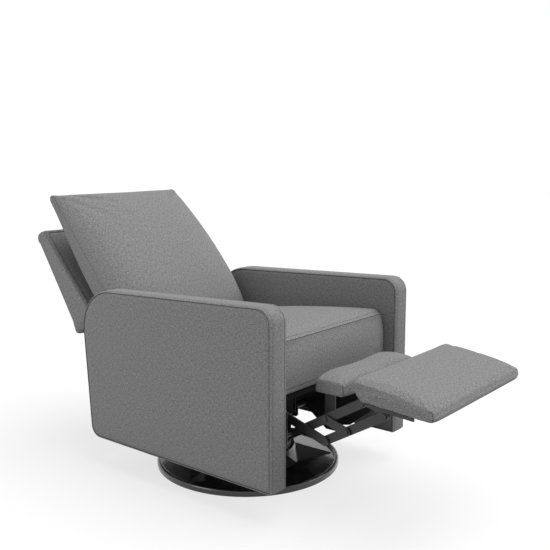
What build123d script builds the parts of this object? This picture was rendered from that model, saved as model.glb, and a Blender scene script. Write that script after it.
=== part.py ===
"""Swivel glider recliner, reclined with its footrest out.

The chair faces -Y, +X is the sitter's left, +Z is up, sizes are in millimetres.
The origin is on the floor, on the swivel axis.
"""
import os
from math import atan2, cos, degrees, dist, radians, sin

from build123d import *

os.makedirs("parts", exist_ok=True)

SIDES = {"left": 1, "right": -1}

# Overall width and the arms
CHAIR_WIDTH = 700.0
ARM_THICK = 70.3
ARM_FRONT = -381.0
ARM_BOTTOM = 97.0
ARM_BOTTOM_REAR = 366.0
ARM_REAR_LEAN = 37.0
ARM_FRONT_TOP = 607.0
ARM_TOP_FALL = 30.0
ARM_CORNERS = (5.0, 35.0, 140.0, 48.0)
ARM_BAND_THICK = 12.0
ARM_CORE_THICK = 18.0
ARM_OUTER = CHAIR_WIDTH / 2
ARM_INNER = ARM_OUTER - ARM_THICK
ARM_CORE_INNER = (ARM_INNER + ARM_OUTER - ARM_CORE_THICK) / 2

# Floor base
RIM_RADIUS = 297.0
RIM_WIDTH = 14.0
RIM_HEIGHT = 20.0
RIM_ROUND = 6.5
RIM_FOOT_ROUND = 2.0
DISH_THICK = 3.0
DISH_EDGE_LOW = 8.0
DISH_RISE = 6.0
HUB_FOOT_RADIUS = 172.0
HUB_TOP_RADIUS = 152.0
HUB_TOP = 60.0
WEB_COUNT = 8
WEB_THICK = 5.0
WEB_INNER_TOP = 52.0
WEB_OUTER_TOP = 14.0
WEB_INNER_RADIUS = 155.0
WEB_OUTER_RADIUS = 276.0
FIT = 0.05

# Swivel bearing
RACE_INNER_RADIUS = 110.0
RACE_OUTER_RADIUS = 140.0
RACE_THICK = 6.0
RACE_GAP = 4.0
BALL_RADIUS = 5.0
BALL_COUNT = 20
CAGE_THICK = 2.0
CAGE_HALF_WIDTH = 8.0
CAGE_BALL_CLEAR = 0.3
BALL_CIRCLE = (RACE_INNER_RADIUS + RACE_OUTER_RADIUS) / 2
LOWER_RACE_TOP = HUB_TOP + RACE_THICK
UPPER_RACE_LOW = LOWER_RACE_TOP + RACE_GAP
TURNTABLE_LOW = UPPER_RACE_LOW + RACE_THICK
KINGPIN_RADIUS = 10.0
KINGPIN_HEAD_RADIUS = 18.0
KINGPIN_HEAD_THICK = 7.0
WASHER_RADIUS = 22.0
WASHER_THICK = 2.0
NUT_RADIUS = 17.0
NUT_THICK = 10.0
KINGPIN_END = 3.0

# Turntable and glide links
TURNTABLE_THICK = 6.0
TURNTABLE_TOP = TURNTABLE_LOW + TURNTABLE_THICK
HANGER_INNER = 140.0
HANGER_THICK = 5.0
GLIDE_FRONT_Y = -66.0
GLIDE_REAR_Y = 130.0
GLIDE_PIVOT_TOP = 245.0
GLIDE_LINK_LENGTH = 105.0
GLIDE_LINK_HALF_WIDTH = 14.0
GLIDE_LINK_THICK = 5.0
GLIDE_LINK_GAP = 3.0
GLIDE_EDGE = 18.0
GLIDE_PIN_RADIUS = 6.0
GLIDE_PIN_HEAD_RADIUS = 9.0
GLIDE_PIN_HEAD_THICK = 2.5
HANGER_WINDOW_RADIUS = 42.0
SIDE_PLAY = 0.3
GLIDE_LINK_INNER = HANGER_INNER + HANGER_THICK + GLIDE_LINK_GAP
GLIDE_RAIL_INNER = GLIDE_LINK_INNER + GLIDE_LINK_THICK + GLIDE_LINK_GAP
GLIDE_RAIL_THICK = 5.0
GLIDE_PIVOT_LOW = GLIDE_PIVOT_TOP - GLIDE_LINK_LENGTH
STUB_RADIUS = 12.0
STUB_WALL = 2.5
STUB_PLACES = (-36.0, 110.0)

# Side plates and rails of the carriage
PLATE_THICK = 4.0
PLATE_ARM_GAP = 13.7
PLATE_INNER = ARM_INNER - PLATE_ARM_GAP - PLATE_THICK
PLATE_EDGE = 16.0
PLATE_NOSE = 24.0
PLATE_TOP = 312.0
FLANGE_WIDTH = 26.0
FLANGE_INNER = PLATE_INNER - FLANGE_WIDTH
FLANGE_THICK = 3.0
FLANGE_FRONT = -304.0
FLANGE_REAR = 235.0
RAIL_HEIGHT = 25.0
RAIL_DEPTH = 35.0
FRONT_RAIL_FRONT = -316.0
REAR_RAIL_FRONT = 180.0
RAIL_NOTCH_DEPTH = 12.0
RAIL_NOTCH_CLEAR = 10.0
RAIL_TOP = PLATE_TOP + RAIL_HEIGHT
RAIL_BOLT_RADIUS = 4.0
RAIL_BOLT_HEAD_RADIUS = 7.0
RAIL_BOLT_HEAD_THICK = 5.0
RAIL_BOLT_LENGTH = 22.0
RAIL_BOLT_INSET = 21.0
BACK_PIVOT = (300.0, 320.0)
BACK_PIN_RADIUS = 7.0
BACK_BOSS_RADIUS = 20.0
BACK_COLLAR_RADIUS = 12.0
APRON_REAR = 380.0
APRON_THICK = 35.0
APRON_LOW = 110.0
APRON_TOP = 318.0

# Footrest linkage, seen from the side as (y, z) with the footrest out
FOLD_PIVOT = (-219.7, 316.8)
KNEE = (-468.0, 238.0)
FOOT_PIVOT = (-652.0, 346.0)
FOLD_ANGLE = 83.5
LONG_LINK_TURN = -24.6
CROSS_FROM_KNEE = 70.0
GUIDE_FROM_CROSS = 55.0
SHORT_LINK_PLACE = 80.0
FLIPPER_TUBE_PLACE = 60.0
LINK_HALF_WIDTH = 12.5
LINK_THICK = 5.0
LINK_GAP = 2.0
LINK_ROOM = 44.0
REAR_LINK_INNER = PLATE_INNER - LINK_ROOM
RAIL_NOTCH_INNER = REAR_LINK_INNER - RAIL_NOTCH_CLEAR
DRIVE_LINK_INNER = REAR_LINK_INNER + LINK_THICK + LINK_GAP
RIVET_RADIUS = 5.0
RIVET_HEAD_RADIUS = 8.0
RIVET_HEAD_THICK = 3.0
COLLAR_RADIUS = 9.0
COLLAR_PLAY = 0.1
TORQUE_TUBE_RADIUS = 10.0
TORQUE_TUBE_WALL = 2.0
FLIPPER_TUBE_RADIUS = 8.0
SLOT_CLEAR = 0.6
SLOT_HALVES = ((0, 0.25, 0.5), (0.5, 0.75, 1))

# Seat
SEAT_SIDE_GAP = 4.7
SEAT_HALF_WIDTH = ARM_INNER - SEAT_SIDE_GAP
SEAT_FRONT_LOW = -335.0
SEAT_FRONT_TOP = -330.0
SEAT_REAR = 150.0
SEAT_TAIL = 64.0
SEAT_TAIL_THICK = 25.0
SEAT_TOP_FRONT = 514.0
SEAT_TOP_REAR = 462.0
SEAT_CROWN = 6.0
SEAT_FRONT_BULGE = 17.0
SEAT_SIDE_DROP = 9.0
SEAT_LOW_ROUND = 8.0
SEAT_REAR_ROUND = 16.0
SEAT_FRONT_ROUND = 34.0
SEAT_SIDE_SLACK = 0.25
SEAT_SLICES = ((-1, 1), (-0.9, 0.2), (-0.5, 0), (0, 0), (0.5, 0), (0.9, 0.2), (1, 1))
BOARD_HEIGHT = 48.0
BOARD_THICK = 18.0
BOARD_FRONT = -318.0
BOARD_COVER = 13.0
BOARD_HALF_WIDTH = SEAT_HALF_WIDTH - BOARD_COVER
WEBBING_THICK = 2.0
WEBBING_WIDTH = 60.0
WEBBING_COUNT = 4
WEBBING_STEP = 115.0
BOARD_TOP = RAIL_TOP + BOARD_HEIGHT

# Back frame, measured along its front face (rise) and square to it (depth)
BACK_LOW_FRONT = (440.0, 462.0)
BACK_LEAN = 44.1
BACK_HEIGHT = 384.0
BACK_LOW_DEPTH = 118.0
BACK_TOP_DEPTH = 44.0
BACK_LOW_SLANT = 10.0
BACK_TOP_SLANT = 14.0
BACK_SIDE_GAP = 7.7
BACK_HALF_WIDTH = ARM_INNER - BACK_SIDE_GAP
BACK_WALL = 18.0
BACK_SIDE_WALL = 24.0
BACK_CORNERS = (10.0, 12.0, 22.0, 10.0)
FRONT_PAD_THICK = 22.0
POST_WIDTH = 30.0
BACK_RAIL_HEIGHT = 60.0
BRACKET_THICK = 5.0
BRACKET_PLATE_GAP = 20.0
BRACKET_INNER = PLATE_INNER - BRACKET_PLATE_GAP - BRACKET_THICK
POST_HALF_SPAN = BRACKET_INNER - FIT
BRACKET_HALF_WIDTH = 15.0
BRACKET_RISE = 100.0
BRACKET_DEPTH = 60.0
BRACKET_BOLT_RADIUS = 4.0
BRACKET_BOLT_STEP = 60.0

# Loose back cushion, hung along its side band
CUSHION_TOP = (649.0, 846.0)
CUSHION_LEAN = 40.4
CUSHION_LENGTH = 575.0
CUSHION_SIDE_GAP = 4.7
CUSHION_HALF_WIDTH = ARM_INNER - CUSHION_SIDE_GAP
CUSHION_BAND = 28.0
CUSHION_TOP_SAG = 27.0
CUSHION_TOP_FRONT = 82.0
CUSHION_BELLY = (430.0, 134.0)
CUSHION_LOW_FRONT = 86.0
CUSHION_LOW_REAR = 50.0
CUSHION_FRONT_BULGE = 18.0
CUSHION_REAR_BULGE = 64.5
CUSHION_ROUND = 12.0
CUSHION_TOP_ROUND = 52.0
CUSHION_TOP_BULGE = 2.0
CUSHION_LOW_BULGE = 14.0
CUSHION_SLICES = ((-1, 0), (-0.94, 0.5), (-0.7, 0.92), (0, 1), (0.7, 0.92), (0.94, 0.5), (1, 0))

# Footrest and the flipper between it and the seat
FOOT_FLANGE_WIDTH = 26.0
FOOT_HALF_WIDTH = DRIVE_LINK_INNER + LINK_THICK + FOOT_FLANGE_WIDTH
FOOT_REAR_TOP = (-548.0, 436.0)
FOOT_REAR_LOW = (-600.0, 380.0)
FOOT_FRONT_LOW = (-804.0, 365.3)
FOOT_FRONT_TOP = (-806.0, 400.0)
FOOT_CROWN = 10.0
FOOT_FRONT_BULGE = 4.0
FOOT_LOW_ROUND = 6.0
FOOT_TOP_ROUND = 14.0
FOOT_CORNER = 8.0
FOOT_SIDE_SLACK = 0.5
FOOT_SLICES = (
    (-1, 1), (-0.95, 0.35), (-0.86, 0.06), (-0.7, 0), (-0.3, 0),
    (0.3, 0), (0.7, 0), (0.86, 0.06), (0.95, 0.35), (1, 1),
)
FOOT_BOARD_THICK = 12.0
FOOT_BOARD_COVER = 12.0
FOOT_BOARD_HALF_WIDTH = FOOT_HALF_WIDTH - FOOT_BOARD_COVER
FOOT_BOARD_INSET = 14.0
FOOT_FLANGE_THICK = 3.0
FOOT_BRACKET_LENGTH = 138.0
FOOT_BRACKET_HEIGHT = 20.0
FLIPPER_SIDE_GAP = 28.0
FLIPPER_HALF_WIDTH = REAR_LINK_INNER - FLIPPER_SIDE_GAP
FLIPPER_REAR = -404.0
FLIPPER_FRONT = -505.0
FLIPPER_LOW = 355.0
FLIPPER_TOP = 398.0
FLIPPER_CROWN = 6.0
FLIPPER_FULLNESS = 1.2
FLIPPER_SLICES = ((-1, 1), (-0.9, 0.35), (0, 0), (0.9, 0.35), (1, 1))
FLIPPER_LOW_ROUND = 6.0
FLIPPER_TOP_ROUND = 15.0
FLIPPER_BOARD_THICK = 10.0
FLIPPER_BOARD_INSET = 9.0
FLIPPER_BRACKET_INSET = 12.0
FLIPPER_BRACKET_INNER = FLIPPER_HALF_WIDTH - FLIPPER_BRACKET_INSET
FLIPPER_BRACKET_THICK = 4.0
FLIPPER_BRACKET_WIDTH = 34.0
FLIPPER_FLANGE_WIDTH = 28.0
SOFT_CLEAR = 0.3
FLAT_BULGE = 0.03
EDGE_BULGE = 0.9

# Points of the linkage that follow from the sizes above


def toward(start, end, length):
    """The point this far from start on the way to end."""
    share = length / dist(start, end)
    return (start[0] + (end[0] - start[0]) * share, start[1] + (end[1] - start[1]) * share)


def shifted(point, start, end):
    """The point moved as start moves to end."""
    return (point[0] + end[0] - start[0], point[1] + end[1] - start[1])


def turned(point, centre, angle):
    """The point turned about a centre, in degrees, +Y towards +Z."""
    y, z = point[0] - centre[0], point[1] - centre[1]
    c, s = cos(radians(angle)), sin(radians(angle))
    return (centre[0] + y * c - z * s, centre[1] + y * s + z * c)


CROSS = toward(KNEE, FOLD_PIVOT, CROSS_FROM_KNEE)
FOOT_REAR_PIVOT = shifted(FOOT_PIVOT, KNEE, CROSS)
GUIDE = toward(CROSS, FOOT_REAR_PIVOT, -GUIDE_FROM_CROSS)
SHORT_TOP = toward(CROSS, FOOT_REAR_PIVOT, SHORT_LINK_PLACE)
SHORT_LOW = toward(KNEE, FOOT_PIVOT, SHORT_LINK_PLACE)
FLIPPER_TUBE = toward(CROSS, FOOT_REAR_PIVOT, FLIPPER_TUBE_PLACE)


def guide_at(share):
    """Where the guide pin stands when this share of the fold is done."""
    cross = turned(CROSS, FOLD_PIVOT, FOLD_ANGLE * share)
    guide = shifted(GUIDE, CROSS, cross)
    return turned(guide, cross, LONG_LINK_TURN * share)


def save(piece, name):
    """Label a finished piece and write its file."""
    piece.label = name
    export_step(piece, f"parts/{name}.step")


def plate(side, inner, thick, corners, radii, holes=()):
    """A flat plate square to X, with rounded corners and (place, radius) holes."""
    with BuildPart() as sheet:
        with BuildSketch(Plane.YZ.offset(side * inner)):
            with BuildLine():
                FilletPolyline(*corners, radius=radii, close=True)
            make_face()
            for place, radius in holes:
                with Locations(place):
                    Circle(radius, mode=Mode.SUBTRACT)
        extrude(amount=side * thick)
    return sheet.part


def link(side, inner, thick, half_width, ends, holes, hole_radius):
    """A flat link with round ends and a hole at each pivot."""
    start, end = ends
    angle = degrees(atan2(end[1] - start[1], end[0] - start[0]))
    with BuildPart() as bar:
        with BuildSketch(Plane.YZ.offset(side * inner)):
            with Locations(((start[0] + end[0]) / 2, (start[1] + end[1]) / 2)):
                SlotCenterToCenter(dist(start, end), 2 * half_width, rotation=angle)
            with Locations(*holes):
                Circle(hole_radius, mode=Mode.SUBTRACT)
        extrude(amount=side * thick)
    return bar.part


def turned_pins(sides, places, steps):
    """Pins along X at each place, made of (from, to, radius) steps, as one group."""
    with BuildPart() as pins:
        for side in sides:
            for start, end, radius in steps:
                with BuildSketch(Plane.YZ.offset(side * start)):
                    with Locations(*places):
                        Circle(radius)
                extrude(amount=side * (end - start))
    return pins.part


def both(make):
    """The same piece on both sides of the chair, as one group."""
    with BuildPart() as pair:
        for side in SIDES.values():
            add(make(side))
    return pair.part


def cross_tube(half_length, place, radius, wall):
    """A tube along X, centred on the chair."""
    with BuildPart() as tube:
        with BuildSketch(Plane.YZ.offset(-half_length)):
            with Locations(place):
                Circle(radius)
                Circle(radius - wall, mode=Mode.SUBTRACT)
        extrude(amount=2 * half_length)
    return tube.part


def board(x_from, x_to, y_from, y_to, z_from, z_to):
    """A straight board or strip between two corners."""
    with BuildPart() as timber:
        with Locations(((x_from + x_to) / 2, (y_from + y_to) / 2, (z_from + z_to) / 2)):
            Box(x_to - x_from, y_to - y_from, z_to - z_from)
    return timber.part


def soft_slice(x, corners, bulges, radii):
    """One slice of a stuffed piece at x: bulging sides with rounded corners.

    Where a corner has no radius, the side after it carries on from the side before.
    """
    with BuildSketch(Plane.YZ.offset(x)) as slice_at:
        with BuildLine():
            for i, start in enumerate(corners):
                end = corners[(i + 1) % len(corners)]
                length = dist(start, end)
                out_y, out_z = (end[1] - start[1]) / length, (start[0] - end[0]) / length
                middle = ((start[0] + end[0]) / 2 + out_y * bulges[i],
                          (start[1] + end[1]) / 2 + out_z * bulges[i])
                if radii[i]:
                    side = ThreePointArc(start, middle, end)
                else:
                    side = TangentArc(start, end, tangent=side % 1)
        make_face()
        for corner, radius in zip(corners, radii):
            if radius:
                fillet(slice_at.vertices().sort_by_distance(corner)[0], radius)
    return slice_at.sketch.face()


# Floor base: rim, dish with its webs and hub

with BuildPart() as base_rim:
    with BuildSketch(Plane.XZ):
        with BuildLine():
            FilletPolyline(
                (RIM_RADIUS - RIM_WIDTH, 0),
                (RIM_RADIUS, 0),
                (RIM_RADIUS, RIM_HEIGHT),
                (RIM_RADIUS - RIM_WIDTH, RIM_HEIGHT),
                radius=(0, RIM_FOOT_ROUND, RIM_ROUND, RIM_ROUND),
                close=True,
            )
        make_face()
    revolve(axis=Axis.Z)
save(base_rim.part, "base_rim")

dish_edge = RIM_RADIUS - RIM_WIDTH - FIT
dish_foot = DISH_EDGE_LOW + DISH_RISE
with BuildPart() as base_dish:
    with BuildSketch(Plane.XZ):
        with BuildLine():
            Polyline(
                (KINGPIN_RADIUS + FIT, HUB_TOP - DISH_THICK),
                (HUB_TOP_RADIUS - DISH_THICK, HUB_TOP - DISH_THICK),
                (HUB_FOOT_RADIUS - DISH_THICK, dish_foot),
                (dish_edge, DISH_EDGE_LOW),
                (dish_edge, DISH_EDGE_LOW + DISH_THICK),
                (HUB_FOOT_RADIUS, dish_foot + DISH_THICK),
                (HUB_TOP_RADIUS, HUB_TOP),
                (KINGPIN_RADIUS + FIT, HUB_TOP),
                close=True,
            )
        make_face()
    revolve(axis=Axis.Z)
    for number in range(WEB_COUNT):
        spoke = Plane.XZ.rotated((0, 0, 360 / WEB_COUNT * number))
        with BuildSketch(spoke):
            with BuildLine():
                Polyline(
                    (WEB_INNER_RADIUS, dish_foot + DISH_THICK),
                    (WEB_OUTER_RADIUS, DISH_EDGE_LOW + DISH_THICK / 2),
                    (WEB_OUTER_RADIUS, WEB_OUTER_TOP),
                    (WEB_INNER_RADIUS, WEB_INNER_TOP),
                    close=True,
                )
            make_face()
        extrude(amount=WEB_THICK / 2, both=True)
    with BuildSketch(Plane.XZ):
        with BuildLine():
            Polyline(
                (0, 0),
                (HUB_FOOT_RADIUS - DISH_THICK, 0),
                (HUB_FOOT_RADIUS - DISH_THICK, dish_foot),
                (HUB_TOP_RADIUS - DISH_THICK, HUB_TOP - DISH_THICK),
                (0, HUB_TOP - DISH_THICK),
                close=True,
            )
        make_face()
    revolve(axis=Axis.Z, mode=Mode.SUBTRACT)
save(base_dish.part, "base_dish")

# Swivel bearing: two grooved races, balls and their cage, kingpin, washer and nut

ball_height = (LOWER_RACE_TOP + UPPER_RACE_LOW) / 2
for race_name, race_low in (("lower_race", HUB_TOP), ("upper_race", UPPER_RACE_LOW)):
    with BuildPart() as race:
        with BuildSketch(Plane.XY.offset(race_low)):
            Circle(RACE_OUTER_RADIUS)
            Circle(RACE_INNER_RADIUS, mode=Mode.SUBTRACT)
        extrude(amount=RACE_THICK)
        with BuildSketch(Plane.XZ):
            with Locations((BALL_CIRCLE, ball_height)):
                Circle(BALL_RADIUS + FIT)
        revolve(axis=Axis.Z, mode=Mode.SUBTRACT)
    save(race.part, race_name)

with BuildPart() as bearing_balls:
    with Locations((0, 0, ball_height)):
        with PolarLocations(BALL_CIRCLE, BALL_COUNT):
            Sphere(BALL_RADIUS)
save(bearing_balls.part, "bearing_balls")

with BuildPart() as ball_cage:
    with BuildSketch(Plane.XY.offset(ball_height - CAGE_THICK / 2)):
        Circle(BALL_CIRCLE + CAGE_HALF_WIDTH)
        Circle(BALL_CIRCLE - CAGE_HALF_WIDTH, mode=Mode.SUBTRACT)
        with PolarLocations(BALL_CIRCLE, BALL_COUNT):
            Circle(BALL_RADIUS + CAGE_BALL_CLEAR, mode=Mode.SUBTRACT)
    extrude(amount=CAGE_THICK)
save(ball_cage.part, "ball_cage")

washer_top = TURNTABLE_TOP + COLLAR_PLAY + WASHER_THICK
kingpin_top = washer_top + NUT_THICK + KINGPIN_END
with BuildPart() as kingpin:
    with BuildSketch(Plane.XY.offset(HUB_TOP - DISH_THICK)):
        Circle(KINGPIN_HEAD_RADIUS)
    extrude(amount=-KINGPIN_HEAD_THICK)
    with BuildSketch(Plane.XY.offset(HUB_TOP - DISH_THICK)):
        Circle(KINGPIN_RADIUS)
    extrude(amount=kingpin_top - HUB_TOP + DISH_THICK)
save(kingpin.part, "kingpin")

with BuildPart() as thrust_washer:
    with BuildSketch(Plane.XY.offset(TURNTABLE_TOP + COLLAR_PLAY)):
        Circle(WASHER_RADIUS)
        Circle(KINGPIN_RADIUS + FIT, mode=Mode.SUBTRACT)
    extrude(amount=WASHER_THICK)
save(thrust_washer.part, "thrust_washer")

with BuildPart() as kingpin_nut:
    with BuildSketch(Plane.XY.offset(washer_top)):
        RegularPolygon(NUT_RADIUS, 6)
        Circle(KINGPIN_RADIUS + FIT, mode=Mode.SUBTRACT)
    extrude(amount=NUT_THICK)
save(kingpin_nut.part, "kingpin_nut")

# Turntable with the two hangers that the glide links swing from

hanger_front = GLIDE_FRONT_Y - GLIDE_EDGE
hanger_rear = GLIDE_REAR_Y + GLIDE_EDGE
hanger_outer = HANGER_INNER + HANGER_THICK
with BuildPart() as turntable:
    with BuildSketch(Plane.XY.offset(TURNTABLE_LOW)):
        with BuildLine():
            FilletPolyline(
                (-hanger_outer, hanger_front),
                (hanger_outer, hanger_front),
                (hanger_outer, hanger_rear),
                (-hanger_outer, hanger_rear),
                radius=GLIDE_EDGE,
                close=True,
            )
        make_face()
        Circle(KINGPIN_RADIUS + FIT, mode=Mode.SUBTRACT)
    extrude(amount=TURNTABLE_THICK)
save(turntable.part, "turntable")

glide_pivots = (GLIDE_FRONT_Y, GLIDE_REAR_Y)
hanger_top = GLIDE_PIVOT_TOP + GLIDE_EDGE
hanger_window = ((GLIDE_FRONT_Y + GLIDE_REAR_Y) / 2, (TURNTABLE_TOP + GLIDE_PIVOT_TOP) / 2)
hanger_holes = [((y, GLIDE_PIVOT_TOP), GLIDE_PIN_RADIUS + FIT) for y in glide_pivots]
hanger_holes.append((hanger_window, HANGER_WINDOW_RADIUS))
hanger_outline = (
    (hanger_front + GLIDE_EDGE, TURNTABLE_TOP),
    (hanger_rear - GLIDE_EDGE, TURNTABLE_TOP),
    (hanger_rear, hanger_top),
    (hanger_front, hanger_top),
)
hanger_corners = (0, 0, GLIDE_EDGE, GLIDE_EDGE)


def hanger(side):
    """The upright plate that carries two glide links."""
    return plate(side, HANGER_INNER, HANGER_THICK, hanger_outline, hanger_corners, hanger_holes)


save(both(hanger), "hangers")

for end_name, y in zip(("front", "rear"), glide_pivots):
    ends = ((y, GLIDE_PIVOT_TOP), (y, GLIDE_PIVOT_LOW))

    def glide_link(side):
        """A strap that hangs the carriage from a hanger."""
        return link(side, GLIDE_LINK_INNER, GLIDE_LINK_THICK, GLIDE_LINK_HALF_WIDTH,
                    ends, ends, GLIDE_PIN_RADIUS + FIT)

    save(both(glide_link), f"glide_links_{end_name}")

link_outer = GLIDE_LINK_INNER + GLIDE_LINK_THICK
hanger_pins = turned_pins(
    SIDES.values(),
    [(y, GLIDE_PIVOT_TOP) for y in glide_pivots],
    (
        (HANGER_INNER, link_outer + SIDE_PLAY, GLIDE_PIN_RADIUS),
        (hanger_outer, GLIDE_LINK_INNER - COLLAR_PLAY, GLIDE_PIN_HEAD_RADIUS),
        (link_outer + COLLAR_PLAY, link_outer + GLIDE_PIN_HEAD_THICK, GLIDE_PIN_HEAD_RADIUS),
    ),
)
save(hanger_pins, "hanger_pins")

glide_pins = turned_pins(
    SIDES.values(),
    [(y, GLIDE_PIVOT_LOW) for y in glide_pivots],
    (
        (GLIDE_LINK_INNER - GLIDE_LINK_GAP / 2, GLIDE_RAIL_INNER + GLIDE_RAIL_THICK, GLIDE_PIN_RADIUS),
        (GLIDE_LINK_INNER - GLIDE_LINK_GAP / 2, GLIDE_LINK_INNER - COLLAR_PLAY, GLIDE_PIN_HEAD_RADIUS),
        (link_outer + COLLAR_PLAY, GLIDE_RAIL_INNER, GLIDE_PIN_HEAD_RADIUS),
    ),
)
save(glide_pins, "glide_pins")

# Carriage: glide rails, stub tubes, side plates, timber rails and rear apron

rail_outer = GLIDE_RAIL_INNER + GLIDE_RAIL_THICK
plate_outer = PLATE_INNER + PLATE_THICK
rail_outline = (
    (hanger_front, GLIDE_PIVOT_LOW - GLIDE_EDGE),
    (hanger_rear, GLIDE_PIVOT_LOW - GLIDE_EDGE),
    (hanger_rear, GLIDE_PIVOT_LOW + GLIDE_EDGE),
    (hanger_front, GLIDE_PIVOT_LOW + GLIDE_EDGE),
)
rail_holes = [((y, GLIDE_PIVOT_LOW), GLIDE_PIN_RADIUS + FIT) for y in glide_pivots]


def glide_rail(side):
    """A rail on the links, with two stub tubes welded to it that reach the side plate."""
    with BuildPart() as welded:
        add(plate(side, GLIDE_RAIL_INNER, GLIDE_RAIL_THICK, rail_outline, GLIDE_EDGE / 2, rail_holes))
        with BuildSketch(Plane.YZ.offset(side * rail_outer)):
            with Locations(*[(y, GLIDE_PIVOT_LOW) for y in STUB_PLACES]):
                Circle(STUB_RADIUS)
                Circle(STUB_RADIUS - STUB_WALL, mode=Mode.SUBTRACT)
        extrude(amount=side * (PLATE_INNER - rail_outer))
    return welded.part


save(both(glide_rail), "glide_rails")

for side_name, side in SIDES.items():
    guide_start, guide_end = guide_at(0), guide_at(1)
    stub_low = GLIDE_PIVOT_LOW - STUB_RADIUS - PLATE_EDGE / 2
    plate_outline = (
        (guide_start[0] - PLATE_EDGE, PLATE_TOP),
        (guide_start[0] - PLATE_EDGE, guide_start[1] - PLATE_EDGE),
        (guide_end[0] - 2 * PLATE_EDGE, guide_end[1] - PLATE_NOSE),
        (guide_end[0] + PLATE_NOSE, guide_end[1] - PLATE_NOSE),
        (STUB_PLACES[0] - STUB_RADIUS, stub_low),
        (STUB_PLACES[1] + STUB_RADIUS, stub_low),
        (BACK_PIVOT[0] + BACK_BOSS_RADIUS, BACK_PIVOT[1] - BACK_BOSS_RADIUS),
        (BACK_PIVOT[0] + BACK_BOSS_RADIUS, PLATE_TOP),
    )
    with BuildPart() as side_plate:
        with BuildSketch(Plane.YZ.offset(side * PLATE_INNER)):
            with BuildLine():
                FilletPolyline(*plate_outline, radius=PLATE_EDGE / 2, close=True)
            make_face()
            with Locations(FOLD_PIVOT):
                Circle(PLATE_EDGE)
            with Locations(BACK_PIVOT):
                Circle(BACK_BOSS_RADIUS)
            with Locations(FOLD_PIVOT):
                Circle(RIVET_RADIUS + FIT, mode=Mode.SUBTRACT)
            with Locations(BACK_PIVOT):
                Circle(BACK_PIN_RADIUS + FIT, mode=Mode.SUBTRACT)
        extrude(amount=side * PLATE_THICK)
        for shares in SLOT_HALVES:
            with BuildSketch(Plane.YZ.offset(side * PLATE_INNER)):
                with BuildLine(mode=Mode.PRIVATE) as slot_half:
                    ThreePointArc(*[guide_at(share) for share in shares])
                SlotArc(slot_half.wire(), 2 * (RIVET_RADIUS + SLOT_CLEAR))
            extrude(amount=side * PLATE_THICK, mode=Mode.SUBTRACT)
        with BuildSketch(Plane.XY.offset(PLATE_TOP - FLANGE_THICK)):
            with Locations((side * (FLANGE_INNER + PLATE_INNER) / 2, (FLANGE_FRONT + FLANGE_REAR) / 2)):
                Rectangle(PLATE_INNER - FLANGE_INNER, FLANGE_REAR - FLANGE_FRONT)
        extrude(amount=FLANGE_THICK)
        with BuildSketch(Plane.XY.offset(PLATE_TOP - FLANGE_THICK)):
            for y in (FRONT_RAIL_FRONT, REAR_RAIL_FRONT):
                with Locations((side * (FLANGE_INNER + PLATE_INNER) / 2, y + RAIL_BOLT_INSET)):
                    Circle(RAIL_BOLT_RADIUS + FIT)
        extrude(amount=FLANGE_THICK, mode=Mode.SUBTRACT)
        with BuildSketch(Plane.YZ.offset(side * FLANGE_INNER)):
            with Locations(FOLD_PIVOT):
                Circle(PLATE_EDGE)
        extrude(amount=side * (PLATE_INNER - FLANGE_INNER), mode=Mode.SUBTRACT)
    save(side_plate.part, f"side_plate_{side_name}")

bolt_places = [
    (side * (FLANGE_INNER + PLATE_INNER) / 2, y + RAIL_BOLT_INSET)
    for side in SIDES.values()
    for y in (FRONT_RAIL_FRONT, REAR_RAIL_FRONT)
]
bolt_top = PLATE_TOP - FLANGE_THICK + RAIL_BOLT_LENGTH
for rail_name, rail_front, notched in (
    ("front_rail", FRONT_RAIL_FRONT, True),
    ("rear_rail", REAR_RAIL_FRONT, False),
):
    with BuildPart() as rail:
        with Locations((0, rail_front + RAIL_DEPTH / 2, PLATE_TOP + RAIL_HEIGHT / 2)):
            Box(2 * ARM_INNER, RAIL_DEPTH, RAIL_HEIGHT)
        with BuildSketch(Plane.XY.offset(PLATE_TOP)):
            with Locations(*bolt_places):
                Circle(RAIL_BOLT_RADIUS + FIT)
        extrude(amount=bolt_top - PLATE_TOP, mode=Mode.SUBTRACT)
        if notched:
            for side in SIDES.values():
                notch_middle = side * (RAIL_NOTCH_INNER + FLANGE_INNER) / 2
                notch_height = PLATE_TOP + RAIL_NOTCH_DEPTH / 2
                with Locations((notch_middle, rail_front + RAIL_DEPTH / 2, notch_height)):
                    Box(FLANGE_INNER - RAIL_NOTCH_INNER, RAIL_DEPTH, RAIL_NOTCH_DEPTH, mode=Mode.SUBTRACT)
    save(rail.part, rail_name)

with BuildPart() as rail_bolts:
    with BuildSketch(Plane.XY.offset(PLATE_TOP - FLANGE_THICK)):
        with Locations(*bolt_places):
            Circle(RAIL_BOLT_RADIUS)
    extrude(amount=RAIL_BOLT_LENGTH)
    with BuildSketch(Plane.XY.offset(PLATE_TOP - FLANGE_THICK)):
        with Locations(*bolt_places):
            RegularPolygon(RAIL_BOLT_HEAD_RADIUS, 6)
    extrude(amount=-RAIL_BOLT_HEAD_THICK)
save(rail_bolts.part, "rail_bolts")

rear_apron = board(-ARM_INNER, ARM_INNER, APRON_REAR - APRON_THICK, APRON_REAR, APRON_LOW, APRON_TOP)
save(rear_apron, "rear_apron")

# Arms: a plywood core between two padded panels, wrapped by a band round the edge

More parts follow.
